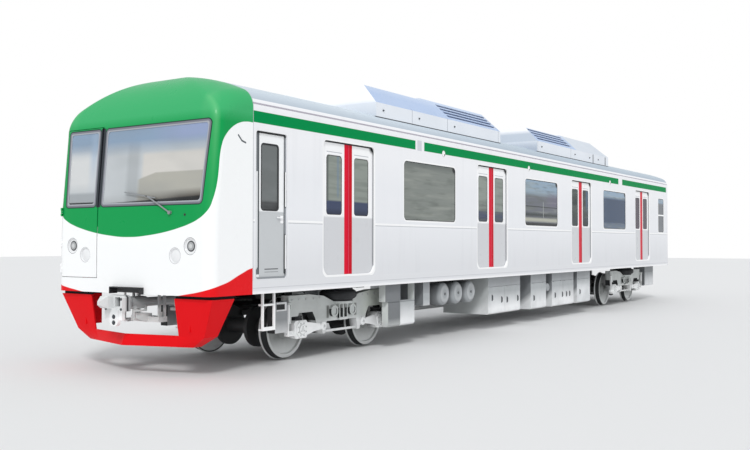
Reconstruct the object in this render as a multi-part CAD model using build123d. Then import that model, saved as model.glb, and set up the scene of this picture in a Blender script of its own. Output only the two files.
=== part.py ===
from build123d import *
import math
import os

os.makedirs("parts", exist_ok=True)

# Driving dimensions in millimetres: X runs forward to the cab, Y to the car's left, Z up.
# Heights are given above the rail top, and the flanges reach FLANGE below it.
HALF = 1475
FLANGE = 28
D1 = 6915
DOOR_PITCH = 4820
DOORS = [D1 - DOOR_PITCH * row for row in range(4)]
REAR = D1 - 17000
MASK_BACK = D1 + 2175
NOSE = D1 + 2950
FLOOR = 1190
BODY_FOOT = 1017
DOOR_HEAD = 3190
ROOF_TOP = 3955
CROWN_R = 3400
SHOULDER_R = 280
WALL = 105
SKIN = 30
END_WALL = 70

# Doorways of the saloon: the structural opening, the clear one in its frame, and the leaves.
OPENING = 680
CLEAR = 660
LEAF_GAP = 3
LEAF_EDGE = 700
LEAF_OUT = 1437
LEAF_IN = 1407
LEAF_FOOT = 1198
LEAF_HEAD = 3200
POCKET = 1365
POCKET_OUT = HALF - SKIN
POCKET_IN = 1398
POCKET_HEAD = 3212

# Cab doorway and its leaf, hinged at the front edge of its inner face.
CAB_DOOR_BACK = D1 + 1462
CAB_DOOR_FRONT = D1 + 2133
CAB_LEAF_OUT = 1440
CAB_LEAF_IN = 1404

# Running gear.
BOGIES = {"front": D1 - 350, "rear": D1 - 14150}
HALF_BASE = 1050
WHEEL_R = 430
WHEEL_IN = 679
WHEEL_OUT = 814
JOURNAL_R = 65
RUNNING_GAP = 0.05


def box(x0, x1, y0, y1, z0, z1):
    """A block between two corners, with heights above the rail."""
    middle = Pos((x0 + x1) / 2, (y0 + y1) / 2, FLANGE + (z0 + z1) / 2)
    return middle * Box(abs(x1 - x0), abs(y1 - y0), abs(z1 - z0))


def rod(x0, y0, z0, x1, y1, z1, radius):
    """A round bar between two points."""
    start = Vector(x0, y0, FLANGE + z0)
    run = Vector(x1, y1, FLANGE + z1) - start
    return extrude(Plane(origin=start, z_dir=run) * Circle(radius), amount=run.length)


def side_plate(x0, x1, z0, z1, radius, y0, y1, low_radius=None):
    """A plate facing sideways with rounded corners, the lower two with their own radius."""
    width, height = x1 - x0, z1 - z0
    sheet = Rectangle(width, height)
    corners = sheet.vertices().sort_by(Axis.Y)
    sheet = fillet(corners[:2], radius)
    high = [v for v in sheet.vertices() if v.Y > height / 2 - 0.001]
    high = [v for v in high if abs(abs(v.X) - width / 2) < 0.001]
    sheet = fillet(high, low_radius or radius)
    centre = Vector((x0 + x1) / 2, y0, FLANGE + (z0 + z1) / 2)
    return extrude(Plane(origin=centre, x_dir=(1, 0, 0), z_dir=(0, 1, 0)) * sheet, amount=y1 - y0)


def both_sides(shape):
    """The shape and its mirror image across the car's centre plane."""
    return [shape, mirror(shape, about=Plane.XZ)]


def write(name, *shapes):
    """One STEP file per sub-part."""
    solids = [solid for shape in shapes for solid in shape.solids()]
    export_step(solids[0] if len(solids) == 1 else Compound(solids), f"parts/{name}.step")


# Body section: straight sides, a small shoulder arc and a wide crown arc, tangent to each other.
def cant_height(top, shoulder):
    """Where the straight side ends, for a crown at this height and a shoulder of this radius."""
    return top - CROWN_R + math.sqrt((CROWN_R - shoulder) ** 2 - (HALF - shoulder) ** 2)


CANT = cant_height(ROOF_TOP, SHOULDER_R)


def section(inset, foot, top=ROOF_TOP, shoulder=SHOULDER_R):
    """The body's cross-section as a face, drawn inside the outer one by an inset."""
    half, crown, small = HALF - inset, CROWN_R - inset, shoulder - inset
    crown_z, across, cant = top - CROWN_R, HALF - shoulder, cant_height(top, shoulder)
    lean = math.atan2(across, cant - crown_z)
    join = (crown * math.sin(lean), crown_z + crown * math.cos(lean))
    turn = lean + (math.pi / 2 - lean) / 2
    knee = (across + small * math.sin(turn), cant + small * math.cos(turn))
    outline = [
        ThreePointArc((half, cant), knee, join),
        ThreePointArc(join, (0, crown_z + crown), (-join[0], join[1])),
        ThreePointArc((-join[0], join[1]), (-knee[0], knee[1]), (-half, cant)),
        Line((-half, foot), (half, foot)),
    ]
    if foot < cant:
        outline += [Line((half, foot), (half, cant)), Line((-half, cant), (-half, foot))]
    return make_face(outline)


def body_prism(inset, foot, x0, x1):
    """The body section run along the car."""
    plane = Plane(origin=(x0, 0, FLANGE), x_dir=(0, 1, 0), z_dir=(1, 0, 0))
    return extrude(plane * section(inset, foot), amount=x1 - x0)


# Side walls: hollow pockets take the leaves, and the windows are cut right through.
BIG_WINDOW = (880, 2060, 3040, 80)
SMALL_WINDOW = (D1 - 16563, D1 - 16012, 2020, 3030, 60)
WINDOW_BAR = (2510, 2550)
window_rows = [
    ((front + back) / 2 - BIG_WINDOW[0], (front + back) / 2 + BIG_WINDOW[0], *BIG_WINDOW[1:])
    for front, back in zip(DOORS, DOORS[1:])
]
window_rows.append(SMALL_WINDOW)


def side_wall():
    """The left wall's panels between sole bar and cantrail."""
    wall = box(REAR + END_WALL, MASK_BACK, HALF - WALL, HALF, FLOOR, DOOR_HEAD)
    wall -= box(CAB_DOOR_BACK, CAB_DOOR_FRONT, HALF - WALL, HALF, FLOOR, DOOR_HEAD)
    for door in DOORS:
        wall -= box(door - OPENING, door + OPENING, HALF - WALL, HALF, FLOOR, DOOR_HEAD)
        wall -= box(door - POCKET, door + POCKET, POCKET_IN, POCKET_OUT, FLOOR, DOOR_HEAD)
    for x0, x1, z0, z1, radius in window_rows:
        wall -= side_plate(x0, x1, z0, z1, radius, HALF - WALL, HALF)
    bar = box(SMALL_WINDOW[0], SMALL_WINDOW[1], POCKET_OUT, HALF, *WINDOW_BAR)
    return wall + bar


def side_glass():
    """The left side's panes, set a little inside the outer skin."""
    panes = [side_plate(*row, 1448, 1468) for row in window_rows]
    panes[-1] -= box(SMALL_WINDOW[0], SMALL_WINDOW[1], 1440, HALF, *WINDOW_BAR)
    return panes


def door_frames():
    """Rings that round off the doorways of the left side."""
    rings = []
    for door in DOORS:
        ring = box(door - OPENING, door + OPENING, POCKET_OUT, HALF, FLOOR, DOOR_HEAD)
        ring -= side_plate(door - CLEAR, door + CLEAR, 1210, 3170, 80, POCKET_OUT, HALF, 150)
        rings.append(ring)
    ring = box(CAB_DOOR_BACK, CAB_DOOR_FRONT, POCKET_OUT, HALF, FLOOR, DOOR_HEAD)
    ring -= side_plate(CAB_DOOR_BACK + 20, CAB_DOOR_FRONT - 20, 1210, 3150, 40, POCKET_OUT, HALF)
    return rings + [ring]


wall = side_wall()
write("side_wall_left", wall)
write("side_wall_right", mirror(wall, about=Plane.XZ))
write("side_windows", *[half for pane in side_glass() for half in both_sides(pane)])
write("door_frames", *[half for ring in door_frames() for half in both_sides(ring)])

cantrail = box(REAR + END_WALL, MASK_BACK, HALF - WALL, HALF, DOOR_HEAD, CANT)
cantrail -= box(REAR + END_WALL, DOORS[0] + POCKET, POCKET_IN, POCKET_OUT, DOOR_HEAD, POCKET_HEAD)
write("cantrails", *both_sides(cantrail))

ROOF_SHEET = 60
roof = body_prism(0, CANT, REAR + END_WALL, MASK_BACK)
roof -= body_prism(ROOF_SHEET, CANT, REAR + END_WALL, MASK_BACK)
write("roof", roof)

# Saloon ceiling: flat in the middle and coved towards the walls.
BULKHEAD = D1 + 1400
CEILING_EDGE, CEILING_TOP, CEILING_SHEET = 3235, 3350, 25
cove = [(HALF - WALL, CEILING_EDGE), (1050, CEILING_TOP), (-1050, CEILING_TOP)]
cove += [(WALL - HALF, CEILING_EDGE), (WALL - HALF, CEILING_EDGE + CEILING_SHEET)]
cove += [(-1045, CEILING_TOP + CEILING_SHEET), (1045, CEILING_TOP + CEILING_SHEET)]
cove += [(HALF - WALL, CEILING_EDGE + CEILING_SHEET)]
ceiling_plane = Plane(origin=(REAR + END_WALL, 0, FLANGE), x_dir=(0, 1, 0), z_dir=(1, 0, 0))
ceiling = extrude(
    ceiling_plane * make_face(Polyline(*cove, close=True)), amount=BULKHEAD - REAR - END_WALL
)
write("ceiling", ceiling)

# Rear end wall with its gangway doorway, then the folded bellows and their end frame.
GANGWAY_HALF, GANGWAY_HEAD = 460, 3140
BELLOWS_BACK = REAR - 240
end_wall = body_prism(0, BODY_FOOT, REAR, REAR + END_WALL)
doorway = (REAR - 1, REAR + END_WALL + 1, -GANGWAY_HALF, GANGWAY_HALF, FLOOR, GANGWAY_HEAD)
end_wall -= box(*doorway)
write("end_wall", end_wall)


def end_plate(x0, x1, half, z0, z1, radius):
    """A plate across the car with rounded corners."""
    plane = Plane(origin=(x0, 0, FLANGE + (z0 + z1) / 2), x_dir=(0, 1, 0), z_dir=(1, 0, 0))
    return extrude(plane * RectangleRounded(2 * half, z1 - z0, radius), amount=x1 - x0)


FOLDS, FOLD_PITCH, FOLD_FRAME = 4, 50, 20
FOLD_OUTER, FOLD_INNER = 700, 640
bellows_parts = []
for fold in range(FOLDS):
    x0 = REAR - FOLD_PITCH * (fold + 1)
    crest = end_plate(x0, x0 + FOLD_PITCH, FOLD_OUTER, 1085, 3265, 90)
    crest = chamfer([e for e in crest.edges() if abs(e.center().X - x0) < 1], 24)
    back_edges = [e for e in crest.edges() if abs(e.center().X - x0 - FOLD_PITCH) < 1]
    bellows_parts.append(chamfer(back_edges, 24))
bellows = bellows_parts[0].fuse(*bellows_parts[1:])
bellows += end_plate(BELLOWS_BACK, REAR - FOLDS * FOLD_PITCH, 680, 1105, 3245, 70)
bellows -= end_plate(BELLOWS_BACK - 1, REAR + 1, GANGWAY_HALF, FLOOR, GANGWAY_HEAD, 20)
for side in (-1, 1):
    for height in (1500, 2175, 2850):
        bellows -= rod(BELLOWS_BACK - 1, side * 570, height, BELLOWS_BACK + 30, side * 570, height, 9)
write("gangway_bellows", bellows)

# Front mask: a side profile crossed with a dome, which is lofted through body sections that
# sink and round off towards the nose. One radius rounds the vertical corners and the dome's ridge.
MASK_SHEET = 70
FACE_X, KNEE_Z, BEND_Z = 2950, 2150, 1700
SCREEN_FOOT_X, SCREEN_HEAD_X = 2935, 2840
DOME_Z, DOME_R, CORNER_R = 3240, 790, 150
JOIN_X = MASK_BACK - D1
SLOPE = math.atan2(SCREEN_FOOT_X - SCREEN_HEAD_X, DOME_Z - KNEE_Z)
# Each row is a distance from the join and the radius of the shoulder there.
dome_rows = [(0, 280), (200, 300), (400, 330), (600, 370), (790, 410)]
DOME_SINK_R = 950
# The front's edges are rounded where they lie this far off the middle and ahead of the join.
RIM_ACROSS, RIM_AHEAD = 100, 50


def dome(inset, foot):
    """Body sections along the mask, whose tops follow an arc downwards."""
    faces = []
    for along, shoulder in dome_rows:
        sink = DOME_SINK_R - math.sqrt(DOME_SINK_R**2 - along**2)
        plane = Plane(origin=(MASK_BACK + along, 0, FLANGE), x_dir=(0, 1, 0), z_dir=(1, 0, 0))
        faces.append(plane * section(inset, foot, ROOF_TOP - sink, shoulder))
    return loft(faces)


def mask_block(inset, foot):
    """The mask as a solid, drawn inside the outer one by an inset."""
    face, radius = FACE_X - inset, DOME_R - inset
    head = (SCREEN_HEAD_X - inset / math.cos(SLOPE), DOME_Z)
    centre = (head[0] - radius * math.cos(SLOPE), DOME_Z - radius * math.sin(SLOPE))
    last_turn = math.acos((JOIN_X - centre[0]) / radius)
    arc = [
        (centre[0] + radius * math.cos(turn), centre[1] + radius * math.sin(turn))
        for turn in ((SLOPE + last_turn) / 2, last_turn)
    ]
    lines = [
        Polyline(
            arc[1], (JOIN_X, foot), (face, foot), (face, BEND_Z), (SCREEN_FOOT_X - inset, KNEE_Z), head
        ),
        ThreePointArc(head, arc[0], arc[1]),
    ]
    plane = Plane(origin=(D1, HALF + MASK_SHEET, FLANGE), x_dir=(1, 0, 0), z_dir=(0, -1, 0))
    block = extrude(plane * make_face(lines), amount=2 * (HALF + MASK_SHEET)) & dome(inset, foot)
    middle = [f for f in block.faces() if abs(f.center().Y) < 1]
    rims = [e for f in middle for e in f.edges() if abs(e.center().Y) > RIM_ACROSS]
    rims = [e for e in rims if e.center().Z > FLANGE + foot + 1]
    rims = [e for e in rims if e.center().X > MASK_BACK + RIM_AHEAD]
    return block.fillet(CORNER_R - inset, rims)


mask_shell = mask_block(0, BODY_FOOT) - mask_block(MASK_SHEET, BODY_FOOT)


def front_prism(outline, radius=None):
    """A prism through the front, from an outline of points across and up."""
    plane = Plane(origin=(D1 + 2500, 0, FLANGE), x_dir=(0, 1, 0), z_dir=(1, 0, 0))
    face = make_face(Polyline(*outline, close=True))
    if radius:
        face = fillet(face.vertices(), radius)
    return extrude(plane * face, amount=600)


# Windscreen: two panes in one band, with the emergency door round the narrow one.
SCREEN_LOW, SCREEN_HIGH = 2165, 3230
SEAM_Y = -625
main_outline = [(-575, SCREEN_LOW), (1315, SCREEN_LOW), (1385, SCREEN_HIGH), (-575, SCREEN_HIGH)]
DOOR_EDGE_Y = -1370
small_outline = [(-1300, SCREEN_LOW), (-675, SCREEN_LOW), (-675, SCREEN_HIGH), (-1335, SCREEN_HIGH)]
door_outline = [(DOOR_EDGE_Y, 1215), (SEAM_Y - 7, 1215), (SEAM_Y - 7, 3250), (DOOR_EDGE_Y, 3250)]
door_hole = [(DOOR_EDGE_Y - 8, 1207), (SEAM_Y + 7, 1207), (SEAM_Y + 7, 3258), (DOOR_EDGE_Y - 8, 3258)]

# Lamps: distance from the centre plane, height, radius and radius of the lens, each turned as one
# piece with a rim, a sunk ring and a domed lens, and set in a pocket in the skin.
lamp_rows = [(1131, 1640, 110, 62), (865, 1520, 105, 80)]
LAMP_BACK, LAMP_FACE = NOSE - 60, NOSE - 2
RIM, RIM_TAPER, RING_SINK, LENS_SINK = 12, 6, 16, 4


def lamp(y, z, radius, lens):
    """A lamp turned about its middle, whose lens bulges as part of a ball."""
    back, ring, bulge = LAMP_BACK, LAMP_FACE - RING_SINK, LAMP_FACE - LENS_SINK
    ball = (lens**2 + (bulge - ring) ** 2) / (2 * (bulge - ring))
    turn = math.asin(lens / ball) / 2
    halfway = (bulge - ball + ball * math.cos(turn), ball * math.sin(turn))
    rim = [(back, 0), (back, radius), (LAMP_FACE, radius), (LAMP_FACE, radius - RIM)]
    turned = make_face([
        Polyline(*rim, (ring, radius - RIM - RIM_TAPER), (ring, lens)),
        ThreePointArc((ring, lens), halfway, (bulge, 0)),
        Line((bulge, 0), (back, 0)),
    ])
    plane = Plane(origin=(0, y, FLANGE + z), x_dir=(1, 0, 0), z_dir=(0, -1, 0))
    return revolve(plane * turned, Axis((0, y, FLANGE + z), (1, 0, 0)))


write("lamps_left", *[lamp(y, z, radius, lens) for y, z, radius, lens in lamp_rows])
write("lamps_right", *[lamp(-y, z, radius, lens) for y, z, radius, lens in lamp_rows])
for y, z, radius, lens in lamp_rows:
    for side in (-1, 1):
        mask_shell -= rod(LAMP_BACK, side * y, z, NOSE + 10, side * y, z, radius)

main_prism = front_prism(main_outline, 60)
small_prism = front_prism(small_outline, 50)
FRAME_SHEET, GLASS_SHEET = 6, 16
outer_block = mask_block(FRAME_SHEET, BODY_FOOT)
glass_band = outer_block - mask_block(FRAME_SHEET + GLASS_SHEET, BODY_FOOT)
frame_band = mask_block(0, BODY_FOOT) - outer_block
emergency_door = (mask_shell & front_prism(door_outline)) - small_prism
mask = mask_shell - main_prism - front_prism(door_hole)
write("windscreen", glass_band & main_prism)
write("emergency_door_glass", glass_band & small_prism)

# Clamping frames lie flush on the panes, along the edge of each.
FRAME_WIDTH = 46


def clamping_frame(outline, radius):
    """The band between an outline and its copy drawn inwards."""
    across = [y for y, z in outline]
    middle_y, middle_z = (min(across) + max(across)) / 2, (SCREEN_LOW + SCREEN_HIGH) / 2
    inner = []
    for y, z in outline:
        y_in = y - math.copysign(FRAME_WIDTH, y - middle_y)
        z_in = z - math.copysign(FRAME_WIDTH, z - middle_z)
        inner.append((y_in, z_in))
    hole = front_prism(inner, radius - FRAME_WIDTH / 3)
    return frame_band & (front_prism(outline, radius) - hole)


write("windscreen_frame", clamping_frame(main_outline, 60))
write("emergency_door_frame", clamping_frame(small_outline, 50))

# The door's free edge is cut slanting, so that its inner corner clears the jamb as it swings.
# Each pair is x and y in plan.
relief_plan = [(2960, SEAM_Y - 7), (2700, SEAM_Y - 7), (2700, SEAM_Y - 60)]
relief = extrude(
    Plane(origin=(D1, 0, FLANGE + 1200)) * make_face(Polyline(*relief_plan, close=True)),
    amount=2100,
)
emergency_door -= relief

# Hinge knuckles: the middle one of each three turns with the door, the others stay on the mask.
HINGE_X, HINGE_Y, KNUCKLE_R, KNUCKLE = 2952, DOOR_EDGE_Y - 4, 9, 40
ARM_NEAR, ARM_FAR = 3, 22
# Each row is the height of a hinge and how far back its leaves reach into the skin.
hinge_rows = [(1330, 2925), (1690, 2925), (2110, 2905)]
for height, root in hinge_rows:
    for step, side in ((-1, -1), (0, 1), (1, -1)):
        low = height + step * KNUCKLE - KNUCKLE / 2 + 1
        high = low + KNUCKLE - 2
        knuckle = rod(D1 + HINGE_X, HINGE_Y, low, D1 + HINGE_X, HINGE_Y, high, KNUCKLE_R)
        near, far = HINGE_Y + side * ARM_NEAR, HINGE_Y + side * ARM_FAR
        knuckle += box(D1 + root, D1 + HINGE_X, near, far, low, high)
        if side > 0:
            emergency_door += knuckle
        else:
            mask += knuckle

# The coupler passes a notch in the mask's foot, lined by a hood that stands a little proud.
HOOD_HALF, HOOD_TOP, HOOD_FOOT, HOOD_SHEET, HOOD_CORNER = 300, 1104, 1014, 12, 8
HOOD_BACK, HOOD_FRONT, NOTCH_BACK = D1 + 2880, D1 + 3015, D1 + 2775
mask -= box(NOTCH_BACK, NOSE + 1, -HOOD_HALF, HOOD_HALF, BODY_FOOT - 1, HOOD_TOP)
hood = box(HOOD_BACK, HOOD_FRONT, -HOOD_HALF, HOOD_HALF, HOOD_FOOT, HOOD_TOP)
hood -= box(HOOD_BACK - 1, HOOD_FRONT + 1, HOOD_SHEET - HOOD_HALF, HOOD_HALF - HOOD_SHEET,
            HOOD_FOOT - 1, HOOD_TOP - HOOD_SHEET)
hood_ends = hood.edges().filter_by(Axis.Z).sort_by(Axis.X)[-4:]
hood_ends = [e for e in hood_ends if abs(e.center().Y) > HOOD_HALF - 1]
write("coupler_hood", fillet(hood_ends, HOOD_CORNER))
write("cab_mask", mask)
write("emergency_door", emergency_door)

# Wiper: a boss on the skin, an arm and a blade. Each row is the two ends and the radius of a bar.
WIPER_X = D1 + 2958
wiper_rows = [
    ((D1 + 2925, 770, 2065), (WIPER_X + 12, 770, 2065), 24),
    ((WIPER_X, 770, 2065), (WIPER_X - 8, 360, 2280), 10),
    ((WIPER_X - 14, -80, 2350), (WIPER_X - 12, 500, 2256), 8),
]
wiper = [rod(*start, *end, radius) for start, end, radius in wiper_rows]
write("wiper", wiper[0].fuse(*wiper[1:]) - mask_block(0, BODY_FOOT))

# Cab doors: a leaf with its window cut, and the pane in it.
CAB_PANE = (D1 + 1630, D1 + 1970, 2120, 2990, 40)
cab_leaf = box(CAB_DOOR_BACK + 8, CAB_DOOR_FRONT - 8, CAB_LEAF_IN, CAB_LEAF_OUT, LEAF_FOOT, 3182)
cab_leaf -= side_plate(*CAB_PANE, CAB_LEAF_IN, CAB_LEAF_OUT)
CAB_HINGE_X, CAB_KNUCKLE_R = CAB_DOOR_FRONT - 8, 7
fixed_knuckles = []
for height in (1400, 2200, 3000):
    for step in (-1, 0, 1):
        low = height + step * KNUCKLE - KNUCKLE / 2 + 1
        high = low + KNUCKLE - 2
        pin = (CAB_HINGE_X, CAB_LEAF_IN, low, CAB_HINGE_X, CAB_LEAF_IN, high)
        if step == 0:
            cab_leaf += rod(*pin, CAB_KNUCKLE_R)
        else:
            cab_leaf -= rod(*pin[:2], low - 1, *pin[3:5], high + 1, CAB_KNUCKLE_R + 2)
            arm = box(CAB_HINGE_X, CAB_DOOR_FRONT, CAB_LEAF_IN - 6, CAB_LEAF_IN, low, high)
            fixed_knuckles += both_sides(rod(*pin, CAB_KNUCKLE_R) + arm)
write("door_hinges", *fixed_knuckles)
cab_pane = side_plate(*CAB_PANE, 1416, 1430)
for name, copies in (("cab_door", both_sides(cab_leaf)), ("cab_door_glass", both_sides(cab_pane))):
    write(f"{name}_left", copies[0])
    write(f"{name}_right", copies[1])

# Handrails beside the cab doors stand clear of the leaf, in the depth of the doorway's frame.
# Each row is the edge of the frame, the side on which the rail stands, its foot and its head.
rail_rows = [
    (CAB_DOOR_FRONT - 20, -1, 1340, 2600),
    (CAB_DOOR_BACK + 20, 1, 2170, 2640),
    (CAB_DOOR_BACK + 20, 1, 1330, 1790),
]
RAIL_Y, RAIL_R, RAIL_GAP, STAY_R, STAY_AT = 1461, 9, 16, 6, 20
rails = []
for edge, away, foot, head in rail_rows:
    x = edge + away * RAIL_GAP
    rail = rod(x, RAIL_Y, foot, x, RAIL_Y, head, RAIL_R)
    for height in (foot + STAY_AT, (foot + head) / 2, head - STAY_AT):
        rail += rod(edge, RAIL_Y, height, x, RAIL_Y, height, STAY_R)
    rails += both_sides(rail)
write("cab_handrails", *rails)

# Saloon doors: four leaves of one hand make one node, and so do their panes.
PANE = (150, 550, 2090, 2975, 60)
for hand, sign in (("forward", 1), ("rearward", -1)):
    leaves, panes = [], []
    for door in DOORS:
        near, far = sorted((door + sign * LEAF_GAP, door + sign * LEAF_EDGE))
        pane_x = sorted((door + sign * PANE[0], door + sign * PANE[1]))
        leaf = box(near, far, LEAF_IN, LEAF_OUT, LEAF_FOOT, LEAF_HEAD)
        leaves.append(leaf - side_plate(*pane_x, *PANE[2:], LEAF_IN, LEAF_OUT))
        panes.append(side_plate(*pane_x, *PANE[2:], 1415, 1429))
    for side, pick in (("left", 0), ("right", 1)):
        write(f"door_leaves_{side}_{hand}", *[both_sides(leaf)[pick] for leaf in leaves])
        write(f"door_glass_{side}_{hand}", *[both_sides(pane)[pick] for pane in panes])

# Underframe: floor, sole bars, cross members, and the cab floor inside the mask.
CAB_FLOOR_FRONT = D1 + 2780
CAB_FLOOR_HALF = 1200
SOLE_IN, FLOOR_FOOT = 1290, 1120
BEAMS, BEAM_PITCH, BEAM_HALF, BEAM_FOOT = 16, 1200, 40, 1040
PAD, PAD_HALF, PAD_IN, PAD_OUT = 15, 90, 1330, 1430
underframe = box(REAR + END_WALL, MASK_BACK, -SOLE_IN, SOLE_IN, FLOOR_FOOT, FLOOR)
for side in (-1, 1):
    underframe += box(REAR + END_WALL, MASK_BACK, side * SOLE_IN, side * HALF, BODY_FOOT, FLOOR)
beams = []
for row in range(BEAMS):
    x = REAR + 900 + row * BEAM_PITCH
    beams.append(box(x - BEAM_HALF, x + BEAM_HALF, -SOLE_IN, SOLE_IN, BEAM_FOOT, FLOOR_FOOT))
for beam in beams:
    underframe += beam
underframe += box(MASK_BACK, CAB_FLOOR_FRONT, -CAB_FLOOR_HALF, CAB_FLOOR_HALF, BODY_FOOT, FLOOR)
for x in BOGIES.values():
    for side in (-1, 1):
        pad = (x - PAD_HALF, x + PAD_HALF, side * PAD_IN, side * PAD_OUT, BODY_FOOT - PAD, BODY_FOOT)
        underframe += box(*pad)
write("underframe", underframe)


def clear_of_beams(shape):
    """The shape with room for the floor's cross members."""
    for beam in beams:
        shape -= beam
    return shape



# Bolsters carry the centre pins, and pockets hang under the floor for both couplers.
PIN_R, PIN_FOOT, BOLSTER_HALF = 60, 520, 260
bolsters = []
for x in BOGIES.values():
    bolster = box(x - BOLSTER_HALF, x + BOLSTER_HALF, -SOLE_IN, SOLE_IN, BODY_FOOT, FLOOR_FOOT)
    bolster = clear_of_beams(bolster)
    bolsters.append(bolster + rod(x, 0, PIN_FOOT, x, 0, BODY_FOOT + 10, PIN_R))
write("bolsters", *bolsters)

COUPLER_Z = 880
FRONT_PIVOT, REAR_PIVOT = D1 + 2000, REAR + 420
# Each row of the fork is how far it reaches back and ahead of the pin, its foot and its head.
fork_rows = [(-140, 90, 995, FLOOR_FOOT), (-140, 90, 740, 780), (-240, -140, 740, FLOOR_FOOT)]
FORK_HALF, FORK_PIN, PIVOT_GAP = 120, 40, 0.05
EYE_R, EYE_FOOT, EYE_HEAD = 95, 800, 975


def coupler_pocket(x, forward):
    """A fork under the floor, with the pin that the coupler swings on."""
    fork = rod(x, 0, 740, x, 0, 1100, FORK_PIN)
    for back, ahead, foot, head in fork_rows:
        fork += box(x + back * forward, x + ahead * forward, -FORK_HALF, FORK_HALF, foot, head)
    return clear_of_beams(fork)


def crosswise_loft(rows):
    """A straight loft along the car. Each row is x from the first door, y, z, width and height."""
    faces = []
    for x, y, z, width, height in rows:
        plane = Plane(origin=(D1 + x, y, FLANGE + z), x_dir=(0, 1, 0), z_dir=(1, 0, 0))
        faces.append(plane * Rectangle(width, height))
    return loft(faces, ruled=True)


# Carrier under the front coupler: a cradle on four straps, and a tapered nose below the shank.
STRAP_IN, STRAP_OUT, STRAP_HALF, STRAPS = 235, 260, 16, (D1 + 2540, D1 + 2635)
CRADLE_FOOT, CRADLE_TOP, CRADLE_EDGE, SPRING_CAP = 632, 704, 268, 25
nose_rows = [(2600, 0, 690, 150, 110), (2740, 0, 705, 120, 110), (2840, 0, 722, 90, 70)]
carrier = box(D1 + 2510, D1 + 2665, -CRADLE_EDGE, CRADLE_EDGE, CRADLE_FOOT, CRADLE_TOP)
for side in (-1, 1):
    strap_in, strap_out = side * STRAP_IN, side * STRAP_OUT
    for x in STRAPS:
        carrier += box(x - STRAP_HALF, x + STRAP_HALF, strap_in, strap_out, CRADLE_FOOT, BODY_FOOT)
    cap_in = strap_in - side * SPRING_CAP
    carrier += box(D1 + 2562, D1 + 2613, cap_in, strap_in, CRADLE_TOP - 1, CRADLE_TOP + 60)
carrier += crosswise_loft(nose_rows)
write("coupler_pockets", coupler_pocket(FRONT_PIVOT, 1), coupler_pocket(REAR_PIVOT, -1), carrier)

# Front coupler: eye and shank, draft gear, flange, and a head whose cone and pocket take another's
# pocket and cone. Each row of the turned part is a distance from the pin, and a radius there.
SHANK_Z, HEAD_BACK, HEAD_FACE = 895, D1 + 3050, D1 + 3190
turned_rows = [
    (60, 660, 60), (660, 700, 78), (700, 930, 85), (930, 962, 66), (962, 990, 104), (990, 1060, 72),
]
cone_rows = [(3180, -72, 916, 168, 170), (3290, -55, 920, 144, 150), (3410, -20, 914, 36, 44)]
# Each row is a block cut from the head: x at its back and front, y at both sides, foot and head.
head_cuts = [
    (HEAD_BACK - 1, HEAD_FACE - 45, -170, -60, 680, 800),
    (HEAD_BACK - 1, HEAD_FACE - 45, 60, 175, 680, 800),
    (HEAD_FACE - 80, HEAD_FACE + 1, 32, 132, 865, 985),
]
HEAD_CHAMFER = 25
coupler = rod(FRONT_PIVOT, 0, EYE_FOOT, FRONT_PIVOT, 0, EYE_HEAD, EYE_R)
for start, end, radius in turned_rows:
    coupler += rod(FRONT_PIVOT + start, 0, SHANK_Z, FRONT_PIVOT + end, 0, SHANK_Z, radius)
eye_hole = (FRONT_PIVOT, 0, EYE_FOOT - 1, FRONT_PIVOT, 0, EYE_HEAD + 1, FORK_PIN + PIVOT_GAP)
coupler -= rod(*eye_hole)
head = box(HEAD_BACK, HEAD_FACE, -165, 170, 690, 1005)
head = chamfer(head.edges().filter_by(Axis.X).group_by(Axis.Z)[-1], HEAD_CHAMFER)
for cut in head_cuts:
    head -= box(*cut)
head += crosswise_loft(cone_rows)
foot_plate = Pos(0, 48, 0) * end_plate(HEAD_FACE - 20, HEAD_FACE + 30, 76, 615, 850, 60)
coupler += head + foot_plate

# Its air pipe runs along under the draft gear on two clips and turns down behind the head.
PIPE_Y, PIPE_Z, PIPE_R, PIPE_BEND = 75, 790, 13, D1 + 2915
pipe_run = [(D1 + 2700, PIPE_Y, PIPE_Z), (PIPE_BEND, PIPE_Y, PIPE_Z), (PIPE_BEND, PIPE_Y, 660)]
for start, end in zip(pipe_run, pipe_run[1:]):
    coupler += rod(*start, *end, PIPE_R)
coupler += Pos(PIPE_BEND, PIPE_Y, FLANGE + PIPE_Z) * Sphere(PIPE_R)
for x in (D1 + 2700, D1 + 2880):
    coupler += box(x, x + 22, PIPE_Y - 20, PIPE_Y + 15, PIPE_Z - 5, 868)
write("coupler_head", coupler)

# Rear drawbar with its flange and four bolt holes.
BAR_HALF, BAR_FLANGE_R, BOLT_CIRCLE_R, BOLT_R = 55, 150, 115, 11
bar_foot, bar_head = COUPLER_Z - BAR_HALF, COUPLER_Z + BAR_HALF
drawbar = box(REAR - 215, REAR_PIVOT - 50, -60, 60, bar_foot, bar_head)
drawbar += rod(REAR_PIVOT, 0, EYE_FOOT, REAR_PIVOT, 0, EYE_HEAD, EYE_R)
drawbar -= rod(REAR_PIVOT, 0, EYE_FOOT - 1, REAR_PIVOT, 0, EYE_HEAD + 1, FORK_PIN + PIVOT_GAP)
drawbar += rod(REAR - 240, 0, COUPLER_Z, REAR - 205, 0, COUPLER_Z, BAR_FLANGE_R)
for quarter in range(4):
    turn = math.radians(45 + 90 * quarter)
    y, z = BOLT_CIRCLE_R * math.cos(turn), COUPLER_Z + BOLT_CIRCLE_R * math.sin(turn)
    drawbar -= rod(REAR - 245, y, z, REAR - 200, y, z, BOLT_R)
write("rear_drawbar", drawbar)


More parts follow.
